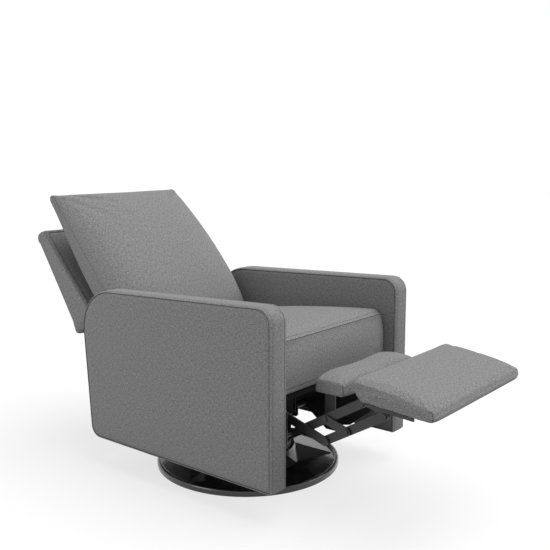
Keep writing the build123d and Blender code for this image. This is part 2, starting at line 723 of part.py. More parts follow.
arm_rear_top = ARM_BOTTOM_REAR + ARM_REAR_LEAN
arm_outline = (
    (ARM_FRONT, ARM_BOTTOM),
    (ARM_BOTTOM_REAR, ARM_BOTTOM),
    (arm_rear_top, ARM_FRONT_TOP - ARM_TOP_FALL),
    (ARM_FRONT, ARM_FRONT_TOP),
)
for side_name, side in SIDES.items():
    arm_layers = (
        ("arm_core", ARM_CORE_INNER, ARM_CORE_THICK),
        ("arm_inner_panel", ARM_INNER, ARM_CORE_INNER - ARM_INNER),
        ("arm_outer_panel", ARM_CORE_INNER + ARM_CORE_THICK, ARM_OUTER - ARM_CORE_INNER - ARM_CORE_THICK),
    )
    for layer_name, layer_inner, layer_thick in arm_layers:
        with BuildPart() as layer:
            with BuildSketch(Plane.YZ.offset(side * layer_inner)):
                with BuildLine():
                    FilletPolyline(*arm_outline, radius=ARM_CORNERS, close=True)
                make_face()
                offset(amount=-ARM_BAND_THICK)
            extrude(amount=side * layer_thick)
        save(layer.part, f"{layer_name}_{side_name}")
    with BuildPart() as arm_band:
        with BuildSketch(Plane.YZ.offset(side * ARM_INNER)):
            with BuildLine():
                FilletPolyline(*arm_outline, radius=ARM_CORNERS, close=True)
            make_face()
            offset(amount=-ARM_BAND_THICK, mode=Mode.SUBTRACT)
        extrude(amount=side * ARM_THICK)
    save(arm_band.part, f"arm_band_{side_name}")

# Seat: a frame of four boards, webbing across it, and the cushion over both,
# with a thin tail that closes the gap behind it

board_low = RAIL_TOP
inner_half = BOARD_HALF_WIDTH - BOARD_THICK
with BuildPart() as seat_cross_boards:
    for y in (BOARD_FRONT, SEAT_REAR - BOARD_THICK):
        with Locations((0, y + BOARD_THICK / 2, board_low + BOARD_HEIGHT / 2)):
            Box(2 * BOARD_HALF_WIDTH, BOARD_THICK, BOARD_HEIGHT)
save(seat_cross_boards.part, "seat_cross_boards")


def seat_side_board(side):
    """A board along one side of the seat frame."""
    x_from, x_to = sorted((side * inner_half, side * BOARD_HALF_WIDTH))
    return board(x_from, x_to, BOARD_FRONT + BOARD_THICK, SEAT_REAR - BOARD_THICK, board_low, BOARD_TOP)


save(both(seat_side_board), "seat_side_boards")

with BuildPart() as seat_webbing:
    with Locations((0, (BOARD_FRONT + SEAT_REAR) / 2, BOARD_TOP + WEBBING_THICK / 2)):
        with GridLocations(WEBBING_STEP, 0, WEBBING_COUNT, 1):
            Box(WEBBING_WIDTH, SEAT_REAR - BOARD_FRONT, WEBBING_THICK)
save(seat_webbing.part, "seat_webbing")

seat_slices = []
for share, drop in SEAT_SLICES:
    fall = SEAT_SIDE_DROP * drop
    fullness = 1 - SEAT_SIDE_SLACK * drop
    seat_slices.append(
        soft_slice(
            SEAT_HALF_WIDTH * share,
            (
                (SEAT_FRONT_LOW, RAIL_TOP),
                (SEAT_REAR, RAIL_TOP),
                (SEAT_REAR, SEAT_TOP_REAR - fall),
                (SEAT_FRONT_TOP + fall / 2, SEAT_TOP_FRONT - fall),
            ),
            (FLAT_BULGE, SOFT_CLEAR, SEAT_CROWN * fullness, SEAT_FRONT_BULGE * fullness),
            (SEAT_LOW_ROUND, SEAT_LOW_ROUND, SEAT_REAR_ROUND, SEAT_FRONT_ROUND),
        )
    )
with BuildPart() as seat_cushion:
    loft(seat_slices)
    with Locations((0, SEAT_REAR, RAIL_TOP + SEAT_TAIL_THICK / 2)):
        Box(2 * SEAT_HALF_WIDTH, 2 * SEAT_TAIL, SEAT_TAIL_THICK)
    with Locations((0, (BOARD_FRONT + SEAT_REAR) / 2, (RAIL_TOP + BOARD_TOP + WEBBING_THICK) / 2)):
        Box(
            2 * BOARD_HALF_WIDTH,
            SEAT_REAR - BOARD_FRONT + 2 * SOFT_CLEAR,
            BOARD_HEIGHT + WEBBING_THICK,
            mode=Mode.SUBTRACT,
        )
    with Locations((0, (BOARD_FRONT + SEAT_REAR) / 2, RAIL_TOP)):
        Box(CHAIR_WIDTH, 2 * (SEAT_REAR - BOARD_FRONT), 2 * SOFT_CLEAR, mode=Mode.SUBTRACT)
save(seat_cushion.part, "seat_cushion")

# Back frame: timber posts and rails inside an upholstered shell, with a padded front

lean_up = (sin(radians(BACK_LEAN)), cos(radians(BACK_LEAN)))


def back_point(rise, depth):
    """A (y, z) point this far up the back's front face and this deep behind it."""
    return (
        BACK_LOW_FRONT[0] + rise * lean_up[0] + depth * lean_up[1],
        BACK_LOW_FRONT[1] + rise * lean_up[1] - depth * lean_up[0],
    )


def wall_depth(rise):
    """How deep the inside of the rear wall lies at this height."""
    top_rise = BACK_HEIGHT + BACK_TOP_SLANT
    share = (rise - BACK_LOW_SLANT) / (top_rise - BACK_LOW_SLANT)
    return BACK_LOW_DEPTH + (BACK_TOP_DEPTH - BACK_LOW_DEPTH) * share - BACK_WALL


def back_outline(points):
    """Points given as (rise, depth), as (y, z)."""
    return [back_point(rise, depth) for rise, depth in points]


shell_outline = back_outline((
    (0, 0),
    (BACK_LOW_SLANT, BACK_LOW_DEPTH),
    (BACK_HEIGHT + BACK_TOP_SLANT, BACK_TOP_DEPTH),
    (BACK_HEIGHT, 0),
))
pocket_top = BACK_HEIGHT - BACK_WALL
pocket_low = -BACK_WALL
pocket_outline = back_outline((
    (pocket_low, -BACK_WALL),
    (pocket_low, wall_depth(pocket_low)),
    (pocket_top, wall_depth(pocket_top)),
    (pocket_top, -BACK_WALL),
))
pocket_half = BACK_HALF_WIDTH - BACK_SIDE_WALL
with BuildPart() as back_shell:
    with BuildSketch(Plane.YZ.offset(-BACK_HALF_WIDTH)):
        with BuildLine():
            FilletPolyline(*shell_outline, radius=BACK_CORNERS, close=True)
        make_face()
    extrude(amount=2 * BACK_HALF_WIDTH)
    with BuildSketch(Plane.YZ.offset(-pocket_half)):
        with BuildLine():
            Polyline(*pocket_outline, close=True)
        make_face()
    extrude(amount=2 * pocket_half, mode=Mode.SUBTRACT)
save(back_shell.part, "back_shell")

post_inner = POST_HALF_SPAN - POST_WIDTH
post_outline = back_outline((
    (0, FRONT_PAD_THICK),
    (0, wall_depth(0)),
    (pocket_top, wall_depth(pocket_top)),
    (pocket_top, FRONT_PAD_THICK),
))
bracket_end = back_point(BRACKET_RISE, BRACKET_DEPTH)
bracket_bolts = [bracket_end, toward(bracket_end, BACK_PIVOT, BRACKET_BOLT_STEP)]
bracket_holes = [(place, BRACKET_BOLT_RADIUS + FIT) for place in bracket_bolts]


def back_post(side):
    """A timber upright of the back frame."""
    return plate(side, post_inner, POST_WIDTH, post_outline, 0, bracket_holes)


def back_bracket(side):
    """The steel arm from the back pivot to a post."""
    bar = link(side, BRACKET_INNER, BRACKET_THICK, BRACKET_HALF_WIDTH,
               (BACK_PIVOT, bracket_end), bracket_bolts, BRACKET_BOLT_RADIUS + FIT)
    with BuildPart() as bored:
        add(bar)
        with BuildSketch(Plane.YZ.offset(side * BRACKET_INNER)):
            with Locations(BACK_PIVOT):
                Circle(BACK_PIN_RADIUS + FIT)
        extrude(amount=side * BRACKET_THICK, mode=Mode.SUBTRACT)
    return bored.part


save(both(back_post), "back_posts")
save(both(back_bracket), "back_brackets")

bracket_outer = BRACKET_INNER + BRACKET_THICK
back_bolts = turned_pins(
    SIDES.values(),
    bracket_bolts,
    (
        (post_inner, bracket_outer, BRACKET_BOLT_RADIUS),
        (bracket_outer, bracket_outer + BRACKET_BOLT_RADIUS, RAIL_BOLT_HEAD_RADIUS),
    ),
)
save(back_bolts, "back_bolts")

with BuildPart() as back_rails:
    for rail_from, rail_to in ((pocket_top - BACK_RAIL_HEIGHT, pocket_top), (0, BACK_RAIL_HEIGHT)):
        with BuildSketch(Plane.YZ.offset(-post_inner)):
            with BuildLine():
                Polyline(
                    *back_outline((
                        (rail_from, FRONT_PAD_THICK),
                        (rail_from, wall_depth(rail_from)),
                        (rail_to, wall_depth(rail_to)),
                        (rail_to, FRONT_PAD_THICK),
                    )),
                    close=True,
                )
            make_face()
        extrude(amount=2 * post_inner)
save(back_rails.part, "back_rails")

front_pad_outline = back_outline((
    (0, 0),
    (0, FRONT_PAD_THICK),
    (pocket_top, FRONT_PAD_THICK),
    (pocket_top, 0),
))
front_pad = plate(1, -pocket_half, 2 * pocket_half, front_pad_outline, 0)
save(front_pad, "back_front_pad")

back_pins = turned_pins(
    SIDES.values(),
    [BACK_PIVOT],
    (
        (BRACKET_INNER, plate_outer, BACK_PIN_RADIUS),
        (bracket_outer + COLLAR_PLAY, PLATE_INNER, BACK_COLLAR_RADIUS),
        (BRACKET_INNER - RIVET_HEAD_THICK, BRACKET_INNER - COLLAR_PLAY, BACK_COLLAR_RADIUS),
        (BRACKET_INNER - RIVET_HEAD_THICK, BRACKET_INNER, BACK_PIN_RADIUS),
        (plate_outer, plate_outer + RIVET_HEAD_THICK, BACK_COLLAR_RADIUS),
    ),
)
save(back_pins, "back_pins")

# Loose back cushion: thin at its side band, full in the middle, wedge shaped from the side

cushion_up = (sin(radians(CUSHION_LEAN)), cos(radians(CUSHION_LEAN)))


def cushion_point(down, forward):
    """A (y, z) point this far down the cushion from its top and this far forward."""
    return (
        CUSHION_TOP[0] - down * cushion_up[0] - forward * cushion_up[1],
        CUSHION_TOP[1] - down * cushion_up[1] + forward * cushion_up[0],
    )


cushion_slices = []
for share, fullness in CUSHION_SLICES:
    low_front = CUSHION_BAND + (CUSHION_LOW_FRONT - CUSHION_BAND) * fullness
    low_rear = -CUSHION_LOW_REAR * fullness
    top_down = CUSHION_TOP_SAG * fullness
    top_front = CUSHION_BAND + (CUSHION_TOP_FRONT - CUSHION_BAND) * fullness
    belly_front = CUSHION_BAND + (CUSHION_BELLY[1] - CUSHION_BAND) * fullness
    cushion_slices.append(
        soft_slice(
            CUSHION_HALF_WIDTH * share,
            (
                cushion_point(CUSHION_LENGTH, low_front),
                cushion_point(CUSHION_LENGTH, low_rear),
                cushion_point(top_down, 0),
                cushion_point(top_down, top_front),
                cushion_point(CUSHION_BELLY[0], belly_front),
            ),
            (
                SOFT_CLEAR + CUSHION_LOW_BULGE * fullness,
                SOFT_CLEAR + CUSHION_REAR_BULGE * fullness,
                SOFT_CLEAR + CUSHION_TOP_BULGE,
                SOFT_CLEAR + CUSHION_FRONT_BULGE * fullness,
                0,
            ),
            (
                CUSHION_ROUND,
                CUSHION_ROUND,
                CUSHION_ROUND,
                CUSHION_ROUND + (CUSHION_TOP_ROUND - CUSHION_ROUND) * fullness,
                0,
            ),
        )
    )
with BuildPart() as back_cushion:
    loft(cushion_slices)
save(back_cushion.part, "back_cushion")

# Footrest linkage: drive, rear, long and short links each side, with their tubes and rivets

hole = RIVET_RADIUS + FIT
drive_outer = DRIVE_LINK_INNER + LINK_THICK
rear_outer = REAR_LINK_INNER + LINK_THICK
for side_name, side in SIDES.items():
    drive_link = link(side, DRIVE_LINK_INNER, LINK_THICK, LINK_HALF_WIDTH,
                      (FOLD_PIVOT, KNEE), (FOLD_PIVOT, CROSS, KNEE), hole)
    save(drive_link, f"drive_link_{side_name}")
    rear_link = link(side, REAR_LINK_INNER, LINK_THICK, LINK_HALF_WIDTH,
                     (GUIDE, FOOT_REAR_PIVOT), (GUIDE, CROSS, SHORT_TOP, FOOT_REAR_PIVOT), hole)
    save(rear_link, f"rear_link_{side_name}")


def long_link(side):
    """The strap from the knee up to the footrest."""
    return link(side, REAR_LINK_INNER, LINK_THICK, LINK_HALF_WIDTH,
                (KNEE, FOOT_PIVOT), (KNEE, SHORT_LOW, FOOT_PIVOT), hole)


def short_link(side):
    """The strap that keeps the long link square to the rear link."""
    ends = (SHORT_TOP, SHORT_LOW)
    return link(side, DRIVE_LINK_INNER, LINK_THICK, LINK_HALF_WIDTH, ends, ends, hole)


save(both(long_link), "long_links")
save(both(short_link), "short_links")

torque_tube = cross_tube(DRIVE_LINK_INNER, FOLD_PIVOT, TORQUE_TUBE_RADIUS, TORQUE_TUBE_WALL)
save(torque_tube, "torque_tube")
flipper_tube = cross_tube(REAR_LINK_INNER, FLIPPER_TUBE, FLIPPER_TUBE_RADIUS, TORQUE_TUBE_WALL)
save(flipper_tube, "flipper_tube")

fold_pins = turned_pins(
    SIDES.values(),
    [FOLD_PIVOT],
    (
        (DRIVE_LINK_INNER, plate_outer, RIVET_RADIUS),
        (drive_outer + COLLAR_PLAY, PLATE_INNER, COLLAR_RADIUS),
        (plate_outer, plate_outer + RIVET_HEAD_THICK, RIVET_HEAD_RADIUS),
    ),
)
save(fold_pins, "fold_pins")

inner_head = (REAR_LINK_INNER - SIDE_PLAY - RIVET_HEAD_THICK, REAR_LINK_INNER - SIDE_PLAY, RIVET_HEAD_RADIUS)
drive_rivets = turned_pins(
    SIDES.values(),
    [CROSS, KNEE],
    (
        (REAR_LINK_INNER - SIDE_PLAY, drive_outer, RIVET_RADIUS),
        inner_head,
        (rear_outer + COLLAR_PLAY, DRIVE_LINK_INNER, COLLAR_RADIUS),
    ),
)
save(drive_rivets, "drive_rivets")

outer_head = (drive_outer + SIDE_PLAY, drive_outer + SIDE_PLAY + RIVET_HEAD_THICK, RIVET_HEAD_RADIUS)
outward_steps = (
    (REAR_LINK_INNER, drive_outer + SIDE_PLAY, RIVET_RADIUS),
    outer_head,
    (rear_outer, DRIVE_LINK_INNER - COLLAR_PLAY, COLLAR_RADIUS),
)
save(turned_pins(SIDES.values(), [SHORT_LOW, FOOT_PIVOT], outward_steps), "long_link_rivets")
guide_steps = (
    (REAR_LINK_INNER, plate_outer + SIDE_PLAY, RIVET_RADIUS),
    (plate_outer + SIDE_PLAY, plate_outer + SIDE_PLAY + RIVET_HEAD_THICK, RIVET_HEAD_RADIUS),
)
with BuildPart() as rear_link_rivets:
    add(turned_pins(SIDES.values(), [SHORT_TOP, FOOT_REAR_PIVOT], outward_steps))
    add(turned_pins(SIDES.values(), [GUIDE], guide_steps))
save(rear_link_rivets.part, "rear_link_rivets")

# Flipper pad on two brackets that stand on its tube

flipper_bracket_half = FLIPPER_BRACKET_WIDTH / 2


def flipper_bracket(side):
    """A plate on the flipper tube, bent over under the flipper board."""
    with BuildPart() as bent:
        with BuildSketch(Plane.YZ.offset(side * FLIPPER_BRACKET_INNER)):
            with BuildLine():
                Polyline(
                    (FLIPPER_TUBE[0] - flipper_bracket_half, FLIPPER_TUBE[1]),
                    (FLIPPER_TUBE[0] + flipper_bracket_half, FLIPPER_TUBE[1]),
                    (FLIPPER_TUBE[0] + flipper_bracket_half, FLIPPER_LOW),
                    (FLIPPER_TUBE[0] - flipper_bracket_half, FLIPPER_LOW),
                    close=True,
                )
            make_face()
            with Locations(FLIPPER_TUBE):
                Circle(flipper_bracket_half)
                Circle(FLIPPER_TUBE_RADIUS + FIT, mode=Mode.SUBTRACT)
        extrude(amount=side * FLIPPER_BRACKET_THICK)
        flange_middle = side * (FLIPPER_BRACKET_INNER - FLIPPER_FLANGE_WIDTH / 2)
        with Locations((flange_middle, FLIPPER_TUBE[0], FLIPPER_LOW - FLANGE_THICK / 2)):
            Box(FLIPPER_FLANGE_WIDTH, FLIPPER_BRACKET_WIDTH, FLANGE_THICK)
    return bent.part


save(both(flipper_bracket), "flipper_brackets")

flipper_board_half = FLIPPER_HALF_WIDTH - FLIPPER_BOARD_INSET
flipper_board_rear = FLIPPER_REAR - FLIPPER_BOARD_INSET
flipper_board_front = FLIPPER_FRONT + FLIPPER_BOARD_INSET
flipper_board_top = FLIPPER_LOW + FLIPPER_BOARD_THICK
flipper_board = board(-flipper_board_half, flipper_board_half, flipper_board_front, flipper_board_rear,
                      FLIPPER_LOW, flipper_board_top)
save(flipper_board, "flipper_board")

flipper_slices = []
for share, drop in FLIPPER_SLICES:
    fall = FLIPPER_CROWN * drop
    flipper_slices.append(
        soft_slice(
            FLIPPER_HALF_WIDTH * share,
            (
                (FLIPPER_FRONT + fall, FLIPPER_LOW),
                (FLIPPER_REAR - fall, FLIPPER_LOW),
                (FLIPPER_REAR - fall, FLIPPER_TOP - fall),
                (FLIPPER_FRONT + fall, FLIPPER_TOP - fall),
            ),
            (FLAT_BULGE, EDGE_BULGE, FLIPPER_CROWN * (FLIPPER_FULLNESS - drop), EDGE_BULGE),
            (FLIPPER_LOW_ROUND, FLIPPER_LOW_ROUND, FLIPPER_TOP_ROUND, FLIPPER_TOP_ROUND),
        )
    )
with BuildPart() as flipper_pad:
    loft(flipper_slices)
    with Locations((0, (FLIPPER_FRONT + FLIPPER_REAR) / 2, FLIPPER_LOW + FLIPPER_BOARD_THICK / 2)):
        Box(
            2 * flipper_board_half,
            flipper_board_rear - flipper_board_front,
            FLIPPER_BOARD_THICK,
            mode=Mode.SUBTRACT,
        )
    with Locations((0, (FLIPPER_FRONT + FLIPPER_REAR) / 2, FLIPPER_LOW)):
        Box(2 * FLIPPER_HALF_WIDTH, 2 * FLIPPER_HALF_WIDTH, 2 * SOFT_CLEAR, mode=Mode.SUBTRACT)
save(flipper_pad.part, "flipper_pad")

# Footrest: brackets on the linkage, a plywood board and the pad over it

foot_angle = degrees(atan2(FOOT_REAR_LOW[1] - FOOT_FRONT_LOW[1], FOOT_REAR_LOW[0] - FOOT_FRONT_LOW[0]))
foot_along = (-cos(radians(foot_angle)), -sin(radians(foot_angle)))
foot_up = (foot_along[1], -foot_along[0])


def foot_point(along, above):
    """A (y, z) point this far forward under the footrest and this far above its underside."""
    return (
        FOOT_REAR_LOW[0] + along * foot_along[0] + above * foot_up[0],
        FOOT_REAR_LOW[1] + along * foot_along[1] + above * foot_up[1],
    )


foot_length = dist(FOOT_REAR_LOW, FOOT_FRONT_LOW)
foot_board_from = FOOT_BOARD_INSET
foot_board_to = foot_length - FOOT_BOARD_INSET
foot_board_outline = [
    foot_point(foot_board_from, 0),
    foot_point(foot_board_to, 0),
    foot_point(foot_board_to, FOOT_BOARD_THICK),
    foot_point(foot_board_from, FOOT_BOARD_THICK),
]
footrest_board = plate(1, -FOOT_BOARD_HALF_WIDTH, 2 * FOOT_BOARD_HALF_WIDTH, foot_board_outline, 0)
save(footrest_board, "footrest_board")

bracket_strip = [
    foot_point(0, 0),
    foot_point(0, -FOOT_BRACKET_HEIGHT),
    foot_point(FOOT_BRACKET_LENGTH, -FOOT_BRACKET_HEIGHT),
    foot_point(FOOT_BRACKET_LENGTH, 0),
]
bracket_flange = [
    foot_point(0, 0),
    foot_point(0, -FOOT_FLANGE_THICK),
    foot_point(FOOT_BRACKET_LENGTH, -FOOT_FLANGE_THICK),
    foot_point(FOOT_BRACKET_LENGTH, 0),
]


def footrest_bracket(side):
    """The angle under one edge of the footrest, with its two linkage pivots."""
    with BuildPart() as angle:
        with BuildSketch(Plane.YZ.offset(side * DRIVE_LINK_INNER)):
            with BuildLine():
                Polyline(*bracket_strip, close=True)
            make_face()
            with BuildLine():
                Polyline(FOOT_REAR_PIVOT, FOOT_PIVOT, foot_point(FOOT_BRACKET_LENGTH / 2, 0), close=True)
            make_face()
            with Locations(FOOT_PIVOT, FOOT_REAR_PIVOT):
                Circle(LINK_HALF_WIDTH)
            with Locations(FOOT_PIVOT, FOOT_REAR_PIVOT):
                Circle(hole, mode=Mode.SUBTRACT)
        extrude(amount=side * LINK_THICK)
        with BuildSketch(Plane.YZ.offset(side * drive_outer)):
            with BuildLine():
                Polyline(*bracket_flange, close=True)
            make_face()
        extrude(amount=side * FOOT_FLANGE_WIDTH)
    return angle.part


save(both(footrest_bracket), "footrest_brackets")

foot_slices = []
for share, drop in FOOT_SLICES:
    fall = FOOT_CROWN / 2 * drop
    nip = FOOT_CORNER * drop
    foot_slices.append(
        soft_slice(
            FOOT_HALF_WIDTH * share,
            (
                foot_point(foot_length - nip, 0),
                FOOT_REAR_LOW,
                (FOOT_REAR_TOP[0], FOOT_REAR_TOP[1] - fall),
                (FOOT_FRONT_TOP[0] + nip, FOOT_FRONT_TOP[1] - fall),
            ),
            (FLAT_BULGE, EDGE_BULGE, FOOT_CROWN * (1 - FOOT_SIDE_SLACK * drop), FOOT_FRONT_BULGE),
            (FOOT_LOW_ROUND, FOOT_LOW_ROUND, FOOT_TOP_ROUND, FOOT_TOP_ROUND),
        )
    )
with BuildPart() as footrest_pad:
    loft(foot_slices)
    with BuildSketch(Plane.YZ.offset(-FOOT_BOARD_HALF_WIDTH)):
        with BuildLine():
            Polyline(
                foot_point(foot_board_from, -FOOT_BOARD_THICK),
                foot_point(foot_board_to, -FOOT_BOARD_THICK),
                foot_point(foot_board_to, FOOT_BOARD_THICK),
                foot_point(foot_board_from, FOOT_BOARD_THICK),
                close=True,
            )
        make_face()
    extrude(amount=2 * FOOT_BOARD_HALF_WIDTH, mode=Mode.SUBTRACT)
    with BuildSketch(Plane.YZ.offset(-FOOT_HALF_WIDTH)):
        with BuildLine():
            Polyline(
                foot_point(-foot_length, -FOOT_BOARD_THICK),
                foot_point(2 * foot_length, -FOOT_BOARD_THICK),
                foot_point(2 * foot_length, SOFT_CLEAR),
                foot_point(-foot_length, SOFT_CLEAR),
                close=True,
            )
        make_face()
    extrude(amount=2 * FOOT_HALF_WIDTH, mode=Mode.SUBTRACT)
save(footrest_pad.part, "footrest_pad")
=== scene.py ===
"""Swivel glider recliner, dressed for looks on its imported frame."""
import math

import bpy
import numpy as np
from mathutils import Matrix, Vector


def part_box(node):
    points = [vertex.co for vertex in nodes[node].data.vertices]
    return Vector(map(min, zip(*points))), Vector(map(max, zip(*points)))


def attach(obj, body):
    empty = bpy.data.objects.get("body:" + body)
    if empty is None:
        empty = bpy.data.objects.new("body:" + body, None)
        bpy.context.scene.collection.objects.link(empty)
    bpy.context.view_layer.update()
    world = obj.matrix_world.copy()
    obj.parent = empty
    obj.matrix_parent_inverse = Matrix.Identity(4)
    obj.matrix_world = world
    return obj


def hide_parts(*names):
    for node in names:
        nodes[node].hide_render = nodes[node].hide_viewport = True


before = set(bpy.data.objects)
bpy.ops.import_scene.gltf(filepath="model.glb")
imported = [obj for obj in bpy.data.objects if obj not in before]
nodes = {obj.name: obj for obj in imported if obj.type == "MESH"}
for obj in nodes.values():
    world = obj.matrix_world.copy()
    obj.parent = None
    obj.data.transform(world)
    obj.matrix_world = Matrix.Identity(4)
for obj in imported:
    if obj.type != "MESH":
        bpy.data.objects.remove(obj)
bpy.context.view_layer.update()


# Floor base: a rolled steel rim round a pressed steel dish with radial webs and a hub.
# Both are stamped, welded and enamelled satin black; the rim stands on the floor.
def linear(hex_colour):
    """An sRGB hex colour as linear values with alpha."""
    channels = [int(hex_colour[i:i + 2], 16) / 255 for i in (1, 3, 5)]
    return [c / 12.92 if c <= 0.04045 else ((c + 0.055) / 1.055) ** 2.4 for c in channels] + [1]


def add_node(tree, kind, settings=None, values=None, links=None):
    """A shader node with its settings, socket values and links."""
    made = tree.nodes.new(kind)
    for name, value in (settings or {}).items():
        setattr(made, name, value)
    for name, value in (values or {}).items():
        made.inputs[name].default_value = value
    for name, source in (links or {}).items():
        tree.links.new(source, made.inputs[name])
    return made


def new_material(name, **values):
    """A material with its node tree, and its principled shader with some inputs set."""
    material = bpy.data.materials.new(name)
    material.use_nodes = True
    shader = material.node_tree.nodes["Principled BSDF"]
    for key, value in values.items():
        shader.inputs[key.replace("_", " ")].default_value = value
    return material, material.node_tree, shader


def mottle(tree, size_mm, detail=2):
    """Noise with spots of about this size, fixed to the piece."""
    coords = add_node(tree, "ShaderNodeTexCoord")
    return add_node(
        tree, "ShaderNodeTexNoise", values={"Scale": 1000 / size_mm, "Detail": detail},
        links={"Vector": coords.outputs["Object"]},
    )


def colour_by(tree, shader, amount, dark, light, stops=(0, 1)):
    """Colour a shader from dark to light as an amount goes from one stop to the other."""
    ramp = add_node(tree, "ShaderNodeValToRGB", links={"Fac": amount})
    for element, stop, colour in zip(ramp.color_ramp.elements, stops, (dark, light)):
        element.position = stop
        element.color = linear(colour)
    tree.links.new(ramp.outputs["Color"], shader.inputs["Base Color"])


def roughen(tree, shader, height, strength, distance):
    """Raise a shader's surface by a height."""
    bump = add_node(
        tree, "ShaderNodeBump", values={"Strength": strength, "Distance": distance}, links={"Height": height}
    )
    tree.links.new(bump.outputs["Normal"], shader.inputs["Normal"])


def finish_nodes(material, *names):
    """Give CAD nodes this material."""
    for name in names:
        nodes[name].data.materials.clear()
        nodes[name].data.materials.append(material)


# Satin black enamel over pressed steel: an even film with slight waviness and faint dust.
ENAMEL_WAVE_MM = 22
ENAMEL_DUST_MM = 3
enamel, tree, shader = new_material("base_enamel", Roughness=0.26, Coat_Weight=0.6, Coat_Roughness=0.08)
dust = mottle(tree, ENAMEL_DUST_MM, detail=4)
colour_by(tree, shader, dust.outputs["Fac"], "#131314", "#222224")
wave = mottle(tree, ENAMEL_WAVE_MM)
roughen(tree, shader, wave.outputs["Fac"], strength=0.15, distance=0.001)
finish_nodes(enamel, "base_rim", "base_dish")

# Swivel bearing and fasteners: turned and stamped steel, zinc plated.
# They sit inside the base or run through the linkage's holes.
ZINC_GRAIN_MM = 1.5
zinc, tree, shader = new_material("zinc_plated_steel", Metallic=1.0)
grain = mottle(tree, ZINC_GRAIN_MM, detail=3)
colour_by(tree, shader, grain.outputs["Fac"], "#85868a", "#a8a9ad")
rough = add_node(
    tree, "ShaderNodeMapRange", values={"To Min": 0.3, "To Max": 0.5}, links={"Value": grain.outputs["Fac"]}
)
tree.links.new(rough.outputs["Result"], shader.inputs["Roughness"])
finish_nodes(
    zinc, "lower_race", "upper_race", "bearing_balls", "kingpin", "thrust_washer", "kingpin_nut",
    "hanger_pins", "glide_pins", "rail_bolts", "back_pins", "back_bolts",
)

# Ball cage: a moulded nylon ring, matt and slightly mottled.
# It lies loose between the races and spaces the balls.
NYLON_MOTTLE_MM = 4
nylon, tree, shader = new_material("moulded_nylon", Roughness=0.55)
colour_by(tree, shader, mottle(tree, NYLON_MOTTLE_MM).outputs["Fac"], "#2b2b2b", "#3a3a39")
finish_nodes(nylon, "ball_cage")

# Mechanism: pressed steel plates, straps and tubes, powder coated black.
# The coat is baked on, so it is satin with a fine orange peel and paler worn spots.
PEEL_MM = 1.8
WEAR_MM = 35
powder_coat, tree, shader = new_material("black_powder_coat", Roughness=0.45)
wear = mottle(tree, WEAR_MM, detail=6)
colour_by(tree, shader, wear.outputs["Fac"], "#161618", "#29292c")
peel = mottle(tree, PEEL_MM)
roughen(tree, shader, peel.outputs["Fac"], strength=0.2, distance=0.0003)
finish_nodes(
    powder_coat, "turntable", "hangers", "glide_links_front", "glide_links_rear", "glide_rails",
    "side_plate_left", "side_plate_right", "back_brackets", "drive_link_left", "drive_link_right",
    "rear_link_left", "rear_link_right", "long_links", "short_links", "torque_tube", "flipper_tube",
    "flipper_brackets", "footrest_brackets", "fold_pins", "drive_rivets", "long_link_rivets",
    "rear_link_rivets",
)

# Timber frame: softwood rails and plywood boards, planed and left raw.
# They are glued and screwed, and the upholstery is stapled to them.
GRAIN_MM = 6
GRAIN_LENGTH_MM = 160
timber, tree, shader = new_material("planed_softwood", Roughness=0.65)
coords = add_node(tree, "ShaderNodeTexCoord")
along = add_node(
    tree, "ShaderNodeMapping",
    values={"Scale": (1000 / GRAIN_LENGTH_MM, 1000 / GRAIN_MM, 1000 / GRAIN_MM)},
    links={"Vector": coords.outputs["Object"]},
)
grain = add_node(
    tree, "ShaderNodeTexNoise", values={"Scale": 1, "Detail": 5, "Distortion": 0.6},
    links={"Vector": along.outputs["Vector"]},
)
colour_by(tree, shader, grain.outputs["Fac"], "#a9855a", "#d8bc90")
finish_nodes(
    timber, "arm_core_left", "arm_core_right", "rear_rail", "seat_cross_boards", "seat_side_boards",
    "back_posts", "back_rails",
)

# Boards that show from below: wrapped in black dust cloth, a felted polypropylene sheet.
# It is stapled over the front rail and under the footrest and the flipper.
FELT_MM = 1.2
dust_cloth, tree, shader = new_material("black_dust_cloth", Roughness=0.9, Specular_IOR_Level=0.2)
colour_by(tree, shader, mottle(tree, FELT_MM, detail=4).outputs["Fac"], "#141415", "#28282a")
finish_nodes(dust_cloth, "front_rail", "footrest_board", "flipper_board")

# Seat webbing: elastic polypropylene tape, woven in ribs along its length.
# It is stretched between the seat's boards and stapled to them.
RIB_MM = 4
WAVES_PER_UNIT = 20
webbing, tree, shader = new_material("elastic_webbing", Roughness=0.85)
coords = add_node(tree, "ShaderNodeTexCoord")
ribs = add_node(
    tree, "ShaderNodeTexWave", values={"Scale": 1000 / RIB_MM / WAVES_PER_UNIT, "Distortion": 0.5},
    links={"Vector": coords.outputs["Object"]},
)
colour_by(tree, shader, ribs.outputs["Fac"], "#1c1c1e", "#34343a")
finish_nodes(webbing, "seat_webbing")

# Seat cushion: foam in a boxed cover, stapled under the seat frame.
# Its top and its full front panel meet in a topstitched seam along the front edge.

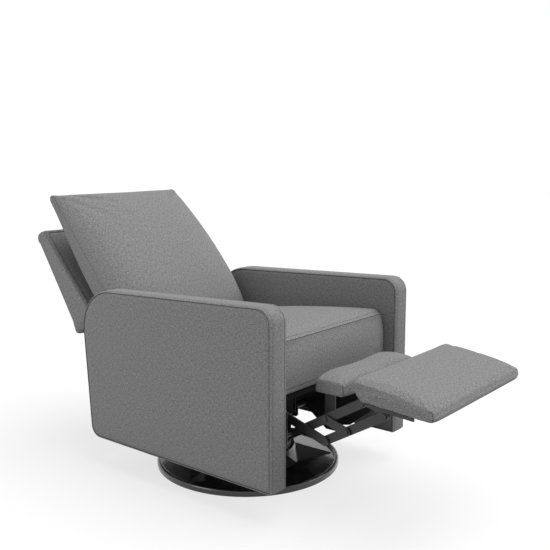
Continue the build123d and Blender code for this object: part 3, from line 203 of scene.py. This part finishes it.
# Upholstery cloth: heathered grey polyester, a plain weave of slubby two-tone yarn.
# The yarn is about 2.2 mm with slubs along it, and dark flecks lie between.
YARN_MM = 2.2
SLUB_MM = 9.0
FLECK_MM = 2.8
FLECK_SHARE = 0.45
cloth, tree, shader = new_material(
    "heathered_woven_cloth", Roughness=0.92, Specular_IOR_Level=0.2, Sheen_Weight=0.12, Sheen_Roughness=0.5
)
coords = add_node(tree, "ShaderNodeTexCoord")
yarns = []
for across_mm, up_mm in ((YARN_MM, SLUB_MM), (SLUB_MM, YARN_MM)):
    place = add_node(
        tree, "ShaderNodeMapping", values={"Scale": (1000 / across_mm, 1000 / up_mm, 1)},
        links={"Vector": coords.outputs["UV"]},
    )
    slubs = add_node(
        tree, "ShaderNodeTexNoise", settings={"noise_dimensions": "2D"}, values={"Scale": 1, "Detail": 1},
        links={"Vector": place.outputs["Vector"]},
    )
    yarns.append(slubs.outputs["Fac"])
crossing = add_node(
    tree, "ShaderNodeTexChecker", values={"Scale": 1000 / YARN_MM}, links={"Vector": coords.outputs["UV"]}
)
weave = add_node(
    tree, "ShaderNodeMix", settings={"data_type": "FLOAT"},
    links={0: crossing.outputs["Fac"], 2: yarns[0], 3: yarns[1]},
)
fleck = add_node(
    tree, "ShaderNodeTexNoise", settings={"noise_dimensions": "2D"},
    values={"Scale": 1000 / FLECK_MM, "Detail": 3, "Roughness": 0.7},
    links={"Vector": coords.outputs["UV"]},
)
heather = add_node(
    tree, "ShaderNodeMix", settings={"data_type": "FLOAT"}, values={0: FLECK_SHARE},
    links={2: weave.outputs[0], 3: fleck.outputs["Fac"]},
)
colour_by(tree, shader, heather.outputs[0], "#5c5c5c", "#ababab", stops=(0.3, 0.7))
roughen(tree, shader, heather.outputs[0], strength=0.35, distance=0.0006)


def deselect():
    """Leave nothing selected."""
    if bpy.context.object and bpy.context.object.mode != "OBJECT":
        bpy.ops.object.mode_set(mode="OBJECT")
    bpy.ops.object.select_all(action="DESELECT")


def make_active(piece):
    """Select only this piece and make it active."""
    deselect()
    piece.select_set(True)
    bpy.context.view_layer.objects.active = piece


def upholster(piece, body, *replaced):
    """Cover a piece in cloth laid straight on each side, and tie it to its body."""
    make_active(piece)
    bpy.ops.object.mode_set(mode="EDIT")
    bpy.ops.mesh.select_all(action="SELECT")
    bpy.ops.uv.cube_project(cube_size=1.0, correct_aspect=False)
    bpy.ops.object.mode_set(mode="OBJECT")
    piece.data.materials.clear()
    piece.data.materials.append(cloth)
    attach(piece, body)
    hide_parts(*replaced)


def points_of(piece):
    """The piece's points as an array."""
    places = np.empty(len(piece.data.vertices) * 3)
    piece.data.vertices.foreach_get("co", places)
    return places.reshape(-1, 3)


def smooth(piece, rounds):
    """Even out a piece's points, some rounds over."""
    soften = piece.modifiers.new("soften", "SMOOTH")
    soften.factor = 0.5
    soften.iterations = rounds
    bpy.ops.object.modifier_apply(modifier=soften.name)


WELD = 0.00002
BLOW_STEPS = 20
CLOTH_MASS = 0.3
CLOTH_STIFFNESS = 12
CLOTH_BENDING = 2


def stuff(name, node, held, voxel, shrink, cap, rounds=4, pressure=4):
    """Stuff a cover: the node's form, drawn in a little, blown up where nothing holds it.

    held(points) gives each point's hold from 0, free, to 1, sewn or stapled down.
    No point is blown further than the cap.
    """
    deselect()
    cover = bpy.data.objects.new(name, nodes[node].data.copy())
    bpy.context.scene.collection.objects.link(cover)
    make_active(cover)
    bpy.ops.object.mode_set(mode="EDIT")
    bpy.ops.mesh.select_all(action="SELECT")
    bpy.ops.mesh.remove_doubles(threshold=WELD)
    bpy.ops.object.mode_set(mode="OBJECT")
    cover.data.remesh_voxel_size = voxel
    bpy.ops.object.voxel_remesh()
    start = points_of(cover)
    hold = held(start)
    smooth(cover, rounds)
    normals = np.empty(len(start) * 3)
    cover.data.vertices.foreach_get("normal", normals)
    small = points_of(cover) - normals.reshape(-1, 3) * (shrink * (1 - hold))[:, None]
    cover.data.vertices.foreach_set("co", small.ravel())
    group = cover.vertex_groups.new(name="held")
    for index, amount in enumerate(hold):
        if amount > 0:
            group.add([index], float(amount), "REPLACE")
    blow = cover.modifiers.new("blow", "CLOTH")
    blow.settings.quality = 4
    blow.settings.mass = CLOTH_MASS
    blow.settings.tension_stiffness = CLOTH_STIFFNESS
    blow.settings.compression_stiffness = CLOTH_STIFFNESS
    blow.settings.bending_stiffness = CLOTH_BENDING
    blow.settings.use_pressure = True
    blow.settings.uniform_pressure_force = pressure
    blow.settings.effector_weights.gravity = 0
    blow.settings.vertex_group_mass = "held"
    blow.collision_settings.use_collision = False
    for step in range(1, BLOW_STEPS + 1):
        bpy.context.scene.frame_set(step)
    bpy.ops.object.modifier_apply(modifier=blow.name)
    bpy.context.scene.frame_set(1)
    moved = points_of(cover) - small
    length = np.linalg.norm(moved, axis=1)
    moved *= np.minimum(1, cap / np.maximum(length, 1e-9))[:, None]
    cover.data.vertices.foreach_set("co", (small + moved).ravel())
    smooth(cover, rounds - 1)
    cover.vertex_groups.clear()
    bpy.ops.object.shade_smooth()
    return cover


# Sewing thread and painted seam shade: twisted polyester a little darker than the cloth for the topstitches,
# and the same dark grey for the lines laid in the seams, which are painted shade in their creases.
THREAD_AND_SEAM_SHADE_MM = 0.8
thread_and_seam_shade, tree, shader = new_material("grey_thread_and_painted_seam_shade", Roughness=0.7)
colour_by(tree, shader, mottle(tree, THREAD_AND_SEAM_SHADE_MM).outputs["Fac"], "#2f2f30", "#454546")

SEAM_SHADE_RADIUS = 0.0011
STITCH_PITCH = 0.0055
STITCH_SIZE = (0.0020, 0.0007, 0.0006)
STITCH_LIFT = 0.0003
LINE_STEP = 0.008


def lay_line(points, closed, cover, lift):
    """A curve through the points, laid on a cover where one is given."""
    corners = [Vector(p) for p in points]
    if closed:
        corners.append(corners[0])
    places = []
    for start, end in zip(corners, corners[1:]):
        count = max(1, round((end - start).length / LINE_STEP))
        places += [start.lerp(end, i / count) for i in range(count)]
    if not closed:
        places.append(corners[-1])
    last = len(places) - 1
    edges = [(i, i + 1) for i in range(last)] + ([(last, 0)] if closed else [])
    mesh = bpy.data.meshes.new("sewn_line")
    mesh.from_pydata(places, edges, [])
    line = bpy.data.objects.new("sewn_line", mesh)
    bpy.context.scene.collection.objects.link(line)
    make_active(line)
    if cover:
        wrap = line.modifiers.new("wrap", "SHRINKWRAP")
        wrap.target = cover
        wrap.wrap_mode = "ABOVE_SURFACE"
        wrap.offset = lift
        bpy.ops.object.modifier_apply(modifier=wrap.name)
    bpy.ops.object.convert(target="CURVE")
    return bpy.context.object


def seam(points, closed=False, cover=None):
    """A painted seam shadow: a thin dark line along the points, standing for the shade in a seam's crease.
    """
    line = lay_line(points, closed, cover, 0.0)
    line.data.bevel_depth = SEAM_SHADE_RADIUS
    line.data.bevel_resolution = 0
    line.data.use_fill_caps = True
    bpy.ops.object.convert(target="MESH")
    return bpy.context.object


def topstitch(points, cover, closed=False):
    """A row of stitches along the points, on a cover."""
    line = lay_line(points, closed, cover, STITCH_LIFT)
    deselect()
    bpy.ops.mesh.primitive_uv_sphere_add(segments=6, ring_count=4, radius=1)
    row = bpy.context.object
    row.scale = STITCH_SIZE
    bpy.ops.object.transform_apply(scale=True)
    repeat = row.modifiers.new("repeat", "ARRAY")
    repeat.fit_type = "FIT_CURVE"
    repeat.curve = line
    repeat.use_relative_offset = False
    repeat.use_constant_offset = True
    repeat.constant_offset_displace = (STITCH_PITCH, 0, 0)
    follow = row.modifiers.new("follow", "CURVE")
    follow.object = line
    bpy.ops.object.modifier_apply(modifier=repeat.name)
    bpy.ops.object.modifier_apply(modifier=follow.name)
    bpy.data.objects.remove(line)
    return row


def sew(name, body, *rows):
    """Join painted seam shadows and stitch rows into one piece on a body, in the thread and seam-shade
    material.
    """
    make_active(rows[0])
    for row in rows:
        row.select_set(True)
    bpy.ops.object.join()
    sewn = bpy.context.object
    sewn.name = name
    sewn.data.materials.clear()
    sewn.data.materials.append(thread_and_seam_shade)
    bpy.ops.object.shade_smooth()
    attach(sewn, body)


SEAT_FRONT_SEAM = (-0.341, 0.493)
SEAT_LOW_SEAM = (-0.352, 0.353)
SEAT_STITCH = (-0.331, 0.503)
SEAT_SEAM_END = 0.268
SEAT_SEAM_REACH = 0.0128
SEAT_SEAM_FADE = 0.008
SEAT_SIDE = 0.2705
SEAT_SIDE_FADE = 0.003
SEAT_BOTTOM = 0.346
SEAT_REAR = 0.152
SEAT_POCKET_SIDE = 0.264
SEAT_POCKET_FRONT = -0.3195
SEAT_POCKET_TOP = 0.392


def seat_hold(points):
    """The seat is stapled below, sewn along its front seam, and boxed in by the arms."""
    x, y, z = points.T
    to_seam = np.hypot(y - SEAT_FRONT_SEAM[0], z - SEAT_FRONT_SEAM[1])
    sewn = np.clip((SEAT_SEAM_REACH - to_seam) / SEAT_SEAM_FADE, 0, 1)
    pocket = (np.abs(x) < SEAT_POCKET_SIDE) & (y > SEAT_POCKET_FRONT) & (z < SEAT_POCKET_TOP)
    stapled = (z < SEAT_BOTTOM) | (pocket & (y < SEAT_REAR)) | (y > SEAT_REAR)
    boxed = np.clip((np.abs(x) - SEAT_SIDE) / SEAT_SIDE_FADE, 0, 1)
    return np.maximum.reduce([sewn, stapled.astype(float), boxed])


def across(end, place):
    """A straight line across the chair at this y and z, as far as the end on each side."""
    return ((-end, *place), (end, *place))


seat = stuff("seat_cover", "seat_cushion", seat_hold, voxel=0.006, shrink=0.004, cap=0.012)
upholster(seat, "carriage", "seat_cushion")
# The two seam lines across the seat are dark cords painted as the shade in their creases.
seat_rows = [seam(across(SEAT_SEAM_END, place), cover=seat) for place in (SEAT_FRONT_SEAM, SEAT_LOW_SEAM)]
seat_rows.append(topstitch(across(SEAT_SEAM_END, SEAT_STITCH), seat))
sew("seat_seam_shades_and_stitches", "carriage", *seat_rows)

# Arms: a plywood core padded on both faces, with an outer and an inner panel of cloth.
# A band of cloth runs round the edge, and a topstitch follows each of its seams.
ARM_OUTLINE = ((-0.381, 0.097), (0.366, 0.097), (0.403, 0.577), (-0.381, 0.607))
ARM_MIDDLE = tuple(sum(corner[i] for corner in ARM_OUTLINE) / 4 for i in (0, 1))
ARM_CORNERS = (0.005, 0.035, 0.140, 0.048)
ARM_FACES = (0.2797, 0.350)
LEAST_ROUND = 0.002
ROUND_HANDLE = 0.448
ROUND_STEPS = 12
CORNER_REACH = 0.03
SEGMENTS_PER_M = 180
FACING = 0.9
SOFT_EDGE = math.radians(50)
NO_LENGTH = 0.0001

# Steps from the seam over a panel's face as (inset, rise), and over the band as (place, drop).
SEAM_SINK = 0.0045
PANEL_STEPS = (
    (0.0012, 0.0022), (0.0022, 0.0018), (0.0035, 0.0013), (0.006, 0.0007), (0.02, 0.0005), (0.06, 0.0004),
)
PANEL_RISE = 0.0062
PANEL_DEPTH = 0.02
BAND_STEPS = (
    (0.0, 0.0045), (0.0012, 0.0026), (0.003, 0.0012), (0.006, 0.0004), (0.0092, 0.0002), (0.0104, 0.0011),
    (0.0116, 0.0002), (0.02, -0.0004),
)
BAND_TURN_IN = 0.0012
BAND_THICKNESS = 0.006
ARM_SEAM_INSET = 0.0058
ARM_SEAM_DEPTH = 0.0026
ARM_STITCH_PLACE = 0.0104


def arm_corner(y, z, inset):
    """A corner of the arm's outline, drawn in by an inset."""
    y += inset if y < ARM_MIDDLE[0] else -inset
    z += inset if z < ARM_MIDDLE[1] else -inset
    return y, z


def arm_loop(x, inset):
    """Points round the arm's edge at x, drawn in by an inset."""
    corners = [Vector((x, *arm_corner(y, z, inset))) for y, z in ARM_OUTLINE]
    loop = []
    for i, radius in enumerate(ARM_CORNERS):
        corner = corners[i]
        start, end = (
            corner + (beside - corner).normalized() * max(radius - inset, LEAST_ROUND)
            for beside in (corners[i - 1], corners[(i + 1) % 4])
        )
        first = corner.lerp(start, ROUND_HANDLE)
        second = corner.lerp(end, ROUND_HANDLE)
        for step in range(ROUND_STEPS + 1):
            t = step / ROUND_STEPS
            leaving = start * (1 - t) ** 3 + first * 3 * t * (1 - t) ** 2
            loop.append(leaving + second * 3 * t * t * (1 - t) + end * t ** 3)
    return loop


def arm_block(name, x_low, x_high, inset):
    """A block with the arm's outline, drawn in by an inset, from one x to another."""
    deselect()
    bpy.ops.mesh.primitive_cube_add(size=1)
    block = bpy.context.object
    block.name = name
    for vertex in block.data.vertices:
        side = (vertex.co.y < 0, vertex.co.z < 0)
        y, z = next(p for p in ARM_OUTLINE if (p[0] < ARM_MIDDLE[0], p[1] < ARM_MIDDLE[1]) == side)
        vertex.co = (x_low if vertex.co.x < 0 else x_high, *arm_corner(y, z, inset))
    for (corner_y, corner_z), radius in zip(ARM_OUTLINE, ARM_CORNERS):
        bpy.ops.object.mode_set(mode="EDIT")
        bpy.ops.mesh.select_mode(type="EDGE")
        bpy.ops.mesh.select_all(action="DESELECT")
        bpy.ops.object.mode_set(mode="OBJECT")
        for edge in block.data.edges:
            a, b = (block.data.vertices[i].co for i in edge.vertices)
            near = math.hypot(a.y - corner_y, a.z - corner_z) < CORNER_REACH
            edge.select = near and abs(a.x - b.x) > NO_LENGTH
        bpy.ops.object.mode_set(mode="EDIT")
        segments = max(4, int(radius * SEGMENTS_PER_M))
        bpy.ops.mesh.bevel(offset=max(radius - inset, LEAST_ROUND), segments=segments, affect="EDGES")
    bpy.ops.object.mode_set(mode="OBJECT")
    return block


def select_faces(piece, wanted):
    """In edit mode, select the faces for which wanted(normal) holds."""
    bpy.ops.object.mode_set(mode="EDIT")
    bpy.ops.mesh.select_mode(type="FACE")
    bpy.ops.mesh.select_all(action="DESELECT")
    bpy.ops.object.mode_set(mode="OBJECT")
    for face in piece.data.polygons:
        face.select = bool(wanted(face.normal))
    bpy.ops.object.mode_set(mode="EDIT")


def arm_panel(name, seam_x, face_x):
    """A padded panel that rises from its seam to a nearly flat face."""
    outward = 1 if face_x > seam_x else -1
    back_x = seam_x - outward * PANEL_DEPTH
    panel = arm_block(name, min(back_x, seam_x), max(back_x, seam_x), SEAM_SINK)
    select_faces(panel, lambda normal: normal.x * outward > FACING)
    size_y = ARM_OUTLINE[1][0] - ARM_OUTLINE[0][0]
    size_z = ARM_OUTLINE[3][1] - ARM_OUTLINE[0][1]
    middle = (0, ARM_OUTLINE[0][0] + size_y / 2, ARM_OUTLINE[0][1] + size_z / 2)
    for inset, rise in PANEL_STEPS:
        bpy.ops.mesh.extrude_region_move(TRANSFORM_OT_translate={"value": (outward * rise, 0, 0)})
        shares = (1, 1 - 2 * inset / size_y, 1 - 2 * inset / size_z)
        bpy.ops.transform.resize(value=shares, center_override=middle)
    bpy.ops.object.mode_set(mode="OBJECT")
    bpy.ops.object.shade_smooth_by_angle(angle=SOFT_EDGE)
    return panel


def arm_band(name, x_low, x_high):
    """The band round the arm's edge, rounded down to its two seams."""
    band = arm_block(name, x_low, x_high, 0)
    select_faces(band, lambda normal: abs(normal.x) > FACING)
    bpy.ops.mesh.delete(type="ONLY_FACE")
    for place, drop in BAND_STEPS[1:]:
        for x in (x_low + place, x_high - place):
            bpy.ops.mesh.select_all(action="SELECT")
            bpy.ops.mesh.bisect(plane_co=(x, 0, 0), plane_no=(1, 0, 0))
    for place, drop in BAND_STEPS:
        bpy.ops.mesh.select_mode(type="VERT")
        bpy.ops.mesh.select_all(action="DESELECT")
        bpy.ops.object.mode_set(mode="OBJECT")
        for vertex in band.data.vertices:
            from_seam = min(vertex.co.x - x_low, x_high - vertex.co.x)
            vertex.select = abs(from_seam - place) < NO_LENGTH
        bpy.ops.object.mode_set(mode="EDIT")
        bpy.ops.transform.shrink_fatten(value=-drop)
    bpy.ops.object.mode_set(mode="OBJECT")
    for vertex in band.data.vertices:
        if vertex.co.x - x_low < NO_LENGTH:
            vertex.co.x += BAND_TURN_IN
        elif x_high - vertex.co.x < NO_LENGTH:
            vertex.co.x -= BAND_TURN_IN
    wall = band.modifiers.new("wall", "SOLIDIFY")
    wall.thickness = BAND_THICKNESS
    wall.offset = -1
    bpy.ops.object.modifier_apply(modifier=wall.name)
    bpy.ops.object.shade_smooth_by_angle(angle=SOFT_EDGE)
    return band


for side_name, side in (("left", 1), ("right", -1)):
    inner_x, outer_x = (side * x for x in ARM_FACES)
    x_low, x_high = sorted((inner_x, outer_x))
    outer = arm_panel(f"arm_outer_cover_{side_name}", outer_x - side * PANEL_RISE, outer_x)
    upholster(outer, "carriage", f"arm_outer_panel_{side_name}")
    inner = arm_panel(f"arm_inner_cover_{side_name}", inner_x + side * PANEL_RISE, inner_x)
    upholster(inner, "carriage", f"arm_inner_panel_{side_name}")
    band = arm_band(f"arm_band_cover_{side_name}", x_low, x_high)
    upholster(band, "carriage", f"arm_band_{side_name}")
    arm_rows = []
    for face_x, inward in ((x_low, 1), (x_high, -1)):
        # A dark cord in each seam's groove is painted shade in the crease; the topstitch runs beside it.
        groove = arm_loop(face_x + inward * ARM_SEAM_DEPTH, ARM_SEAM_INSET)
        arm_rows.append(seam(groove, closed=True))
        beside = arm_loop(face_x + inward * ARM_STITCH_PLACE, 0.0)
        arm_rows.append(topstitch(beside, band, closed=True))
    sew(f"arm_seam_shades_and_stitches_{side_name}", "carriage", *arm_rows)

# Rear apron: a padded board across the back, under the reclining back.
# Its cloth is pulled round the edges and stapled inside, and it closes the carriage behind.
APRON_ROUND = 0.012
deselect()
low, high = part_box("rear_apron")
bpy.ops.mesh.primitive_cube_add(size=1)
apron = bpy.context.object
apron.name = "rear_apron_cover"
for vertex in apron.data.vertices:
    vertex.co = [low[i] if vertex.co[i] < 0 else high[i] for i in range(3)]
round_edges = apron.modifiers.new("round_edges", "BEVEL")
round_edges.width = APRON_ROUND
round_edges.segments = 5
bpy.ops.object.modifier_apply(modifier=round_edges.name)
bpy.ops.object.shade_smooth_by_angle(angle=SOFT_EDGE)
upholster(apron, "carriage", "rear_apron")

# Back frame: posts and rails boxed in by an upholstered shell, with a padded front.
# The shell's cover is stretched over thin wadding and sewn along its front edge.
BACK_FOOT = (0.440, 0.462)
BACK_LEAN = math.radians(44.1)
SHELL_FOOT = 0.010
SHELL_RISE = 0.388
SHELL_DEPTHS = (0.118, 0.044)
SHELL_WALL = 0.007
SHELL_POCKET_SIDE = 0.2655
SHELL_POCKET_TOP = 0.378
SHELL_STITCHES = ((0.266, 0.378), (0.258, 0.370))
SHELL_STITCH_LOW = 0.012
FRONT_PAD_HOLD = 0.5


def shell_hold(points):
    """The shell's cover is stapled inside its pocket."""
    x, y, z = points.T
    from_y, from_z = y - BACK_FOOT[0], z - BACK_FOOT[1]
    depth = from_y * math.cos(BACK_LEAN) - from_z * math.sin(BACK_LEAN)
    rise = from_y * math.sin(BACK_LEAN) + from_z * math.cos(BACK_LEAN)
    rear = SHELL_DEPTHS[0] + (SHELL_DEPTHS[1] - SHELL_DEPTHS[0]) * (rise - SHELL_FOOT) / SHELL_RISE
    outside = (np.abs(x) > SHELL_POCKET_SIDE) | (rise > SHELL_POCKET_TOP) | (depth > rear - SHELL_WALL)
    return np.where(outside, 0.0, 1.0)


def back_place(x, rise):
    """A point at x on the front of the back, this far up it."""
    return (x, BACK_FOOT[0] + rise * math.sin(BACK_LEAN), BACK_FOOT[1] + rise * math.cos(BACK_LEAN))


def front_pad_hold(points):
    """The front pad is glued all over, so it gives little."""
    return np.full(len(points), FRONT_PAD_HOLD)


shell = stuff("back_shell_cover", "back_shell", shell_hold, voxel=0.005, shrink=0.003, cap=0.005)
upholster(shell, "back", "back_shell")
shell_rows = []
for x, top in SHELL_STITCHES:
    edge = [back_place(*p) for p in ((-x, SHELL_STITCH_LOW), (-x, top), (x, top), (x, SHELL_STITCH_LOW))]
    shell_rows.append(topstitch(edge, shell))
sew("back_shell_seams", "back", *shell_rows)
front_pad = stuff("back_front_cover", "back_front_pad", front_pad_hold, voxel=0.006, shrink=0.001, cap=0.002)
upholster(front_pad, "back", "back_front_pad")

# Back cushion: a loose pillow of fibre in the same cloth, with a band down each side.
# It hangs from the back, lies on its padded front and stands behind the seat.
CUSHION_TOP = (0.649, 0.846)
CUSHION_LEAN = math.radians(40.4)
CUSHION_UP = (math.sin(CUSHION_LEAN), math.cos(CUSHION_LEAN))
CUSHION_SIDE = 0.272
CUSHION_SIDE_FADE = 0.002
CUSHION_LYING = 0.030
CUSHION_STANDING = 0.490
CUSHION_STANDING_FADE = 0.050
CUSHION_STITCH_X = 0.2745
CUSHION_STITCH_ENDS = (0.016, 0.560)
CUSHION_STITCH_FORWARD = 0.027


def cushion_place(x, down, forward):
    """A point at x, this far down the pillow from its top and this far forward."""
    y = CUSHION_TOP[0] - down * CUSHION_UP[0] - forward * CUSHION_UP[1]
    return (x, y, CUSHION_TOP[1] - down * CUSHION_UP[1] + forward * CUSHION_UP[0])


def cushion_hold(points):
    """The pillow is sewn along its side bands, lies on the back and stands behind the seat."""
    x, y, z = points.T
    forward = (CUSHION_TOP[0] - y) * CUSHION_UP[1] + (z - CUSHION_TOP[1]) * CUSHION_UP[0]
    down = (CUSHION_TOP[0] - y) * CUSHION_UP[0] + (CUSHION_TOP[1] - z) * CUSHION_UP[1]
    sewn = np.clip((np.abs(x) - CUSHION_SIDE) / CUSHION_SIDE_FADE, 0, 1)
    lying = np.clip((CUSHION_LYING - forward) / CUSHION_LYING, 0, 1)
    standing = np.clip((down - CUSHION_STANDING) / CUSHION_STANDING_FADE, 0, 1)
    return np.maximum.reduce([sewn, lying, standing])


cushion = stuff(
    "back_cushion_cover", "back_cushion", cushion_hold,
    voxel=0.006, shrink=0.002, cap=0.036, rounds=3, pressure=9,
)
upholster(cushion, "back", "back_cushion")
cushion_rows = []
for x in (-CUSHION_STITCH_X, CUSHION_STITCH_X):
    ends = [cushion_place(x, down, CUSHION_STITCH_FORWARD) for down in CUSHION_STITCH_ENDS]
    cushion_rows.append(topstitch(ends, cushion))
sew("back_cushion_seams", "back", *cushion_rows)

# Flipper: a small padded board that fills the gap between the seat and the footrest.
# Its cloth is sewn at the front corners and stapled underneath.
FLIPPER_STAPLED = 0.012
FLIPPER_SEAM_X = 0.190
FLIPPER_SEAM = ((-0.500, 0.396), (-0.505, 0.386), (-0.505, 0.358))


def flipper_hold(points):
    """The flipper's cover is stapled under its board."""
    return np.where(points[:, 2] < points[:, 2].min() + FLIPPER_STAPLED, 1.0, 0.0)


def corner_seams(cover, x, places):
    """A painted seam shadow, a dark line, down each end of a pad's front."""
    return [seam([(side * x, y, z) for y, z in places], cover=cover) for side in (-1, 1)]


flipper = stuff("flipper_cover", "flipper_pad", flipper_hold, voxel=0.004, shrink=0.001, cap=0.004, rounds=2)
upholster(flipper, "rear_link", "flipper_pad")
# The flipper's corner seams are dark lines painted as seam shade.
sew("flipper_seam_shades", "rear_link", *corner_seams(flipper, FLIPPER_SEAM_X, FLIPPER_SEAM))

# Footrest: a plywood board under a foam pad, covered in cloth with sewn front corners.
# The cloth is stapled underneath, and the board is screwed to the linkage's brackets.
FOOTREST_UNDER = (-0.600, 0.380)
FOOTREST_SLOPE = 0.0721
FOOTREST_STAPLED = 0.0135
FOOTREST_SEAM_X = 0.256
FOOTREST_SEAM = ((-0.798, 0.400), (-0.806, 0.388), (-0.804, 0.368))


def footrest_hold(points):
    """The footrest's cover is stapled to its board, underneath."""
    over = points[:, 2] - FOOTREST_UNDER[1] - (points[:, 1] - FOOTREST_UNDER[0]) * FOOTREST_SLOPE
    return np.where(over < FOOTREST_STAPLED, 1.0, 0.0)


footrest = stuff(
    "footrest_cover", "footrest_pad", footrest_hold, voxel=0.004, shrink=0.001, cap=0.003, rounds=2
)
upholster(footrest, "footrest", "footrest_pad")
# The footrest's corner seams are dark lines painted as seam shade.
sew("footrest_seam_shades", "footrest", *corner_seams(footrest, FOOTREST_SEAM_X, FOOTREST_SEAM))


# Floor: a plain pale studio sweep that keeps the chair's soft shadow.
# What the camera sees of it is lifted towards white, and the chair isn't lit by the lift.
def either(tree, *signals):
    """1 where either of two signals is 1."""
    return add_node(
        tree, "ShaderNodeMath", settings={"operation": "MAXIMUM"}, links=dict(enumerate(signals))
    ).outputs[0]


FLOOR_SIZE = 30
FLOOR_LIFT = 0.70
deselect()
bpy.ops.mesh.primitive_plane_add(size=FLOOR_SIZE)
floor = bpy.context.object
floor.name = "studio_floor"
pale, tree, shader = new_material("pale_studio_floor", Roughness=0.9, Specular_IOR_Level=0.0)
shader.inputs["Base Color"].default_value = linear("#9a9a9a")
path = add_node(tree, "ShaderNodeLightPath").outputs
seen = either(tree, either(tree, path["Is Camera Ray"], path["Is Glossy Ray"]), path["Is Transmission Ray"])
lift = add_node(
    tree, "ShaderNodeMath", settings={"operation": "MULTIPLY"}, values={1: FLOOR_LIFT}, links={0: seen}
)
glow = add_node(tree, "ShaderNodeEmission", links={"Strength": lift.outputs[0]})
both = add_node(tree, "ShaderNodeAddShader", links={0: shader.outputs[0], 1: glow.outputs[0]})
tree.links.new(both.outputs[0], tree.nodes["Material Output"].inputs["Surface"])
floor.data.materials.append(pale)

# Studio light: an even white surround, a wide light from above and a low soft box on the left.
SURROUND_LIGHT = 0.39
SURROUND_SEEN = 1.0
LEFT_BOX_PLACE = (-2.8, 0.7, 0.7)
LEFT_BOX_TARGET = (0, 0.2, 0.4)
LEFT_BOX_SIZE = 1.2
LEFT_BOX_POWER = 18
OVERHEAD_POWER = 2.25
OVERHEAD_SPREAD = math.radians(70)
OVERHEAD_FROM = (0.35, -0.5, 1.0)
world = bpy.data.worlds.new("white_surround")
bpy.context.scene.world = world
world.use_nodes = True
tree = world.node_tree
backdrop = tree.nodes["Background"]
path = add_node(tree, "ShaderNodeLightPath").outputs
level = add_node(
    tree, "ShaderNodeMapRange", values={"To Min": SURROUND_LIGHT, "To Max": SURROUND_SEEN},
    links={"Value": either(tree, path["Is Camera Ray"], path["Is Glossy Ray"])},
)
tree.links.new(level.outputs["Result"], backdrop.inputs["Strength"])
backdrop.inputs["Color"].default_value = (1, 1, 1, 1)


def hang_lamp(lamp, backwards, place=(0, 0, 0)):
    """Put a lamp at a place with this direction behind it."""
    hung = bpy.data.objects.new(lamp.name, lamp)
    bpy.context.scene.collection.objects.link(hung)
    hung.location = place
    hung.rotation_euler = Vector(backwards).to_track_quat("Z", "Y").to_euler()


left_box = bpy.data.lights.new("left_box", "AREA")
left_box.size = LEFT_BOX_SIZE
left_box.energy = LEFT_BOX_POWER
hang_lamp(left_box, Vector(LEFT_BOX_PLACE) - Vector(LEFT_BOX_TARGET), LEFT_BOX_PLACE)
overhead = bpy.data.lights.new("overhead_light", "SUN")
overhead.energy = OVERHEAD_POWER
overhead.angle = OVERHEAD_SPREAD
hang_lamp(overhead, OVERHEAD_FROM)

# Camera: where the photograph was taken from.
CAMERA_PLACE = (-1.9254, -1.6705, 1.0136)
AZIMUTH = math.radians(-51.04)
ELEVATION = math.radians(8.88)
SENSOR_MM = 36
LENS_MM = 52.95
lens = bpy.data.cameras.new("camera")
lens.sensor_width = SENSOR_MM
lens.lens = LENS_MM
camera = bpy.data.objects.new("camera", lens)
bpy.context.scene.collection.objects.link(camera)
camera.location = CAMERA_PLACE
backwards = Vector((
    math.sin(AZIMUTH) * math.cos(ELEVATION),
    -math.cos(AZIMUTH) * math.cos(ELEVATION),
    math.sin(ELEVATION),
))
camera.rotation_euler = backwards.to_track_quat("Z", "Y").to_euler()
bpy.context.scene.camera = camera
bpy.context.scene.view_settings.view_transform = "Standard"
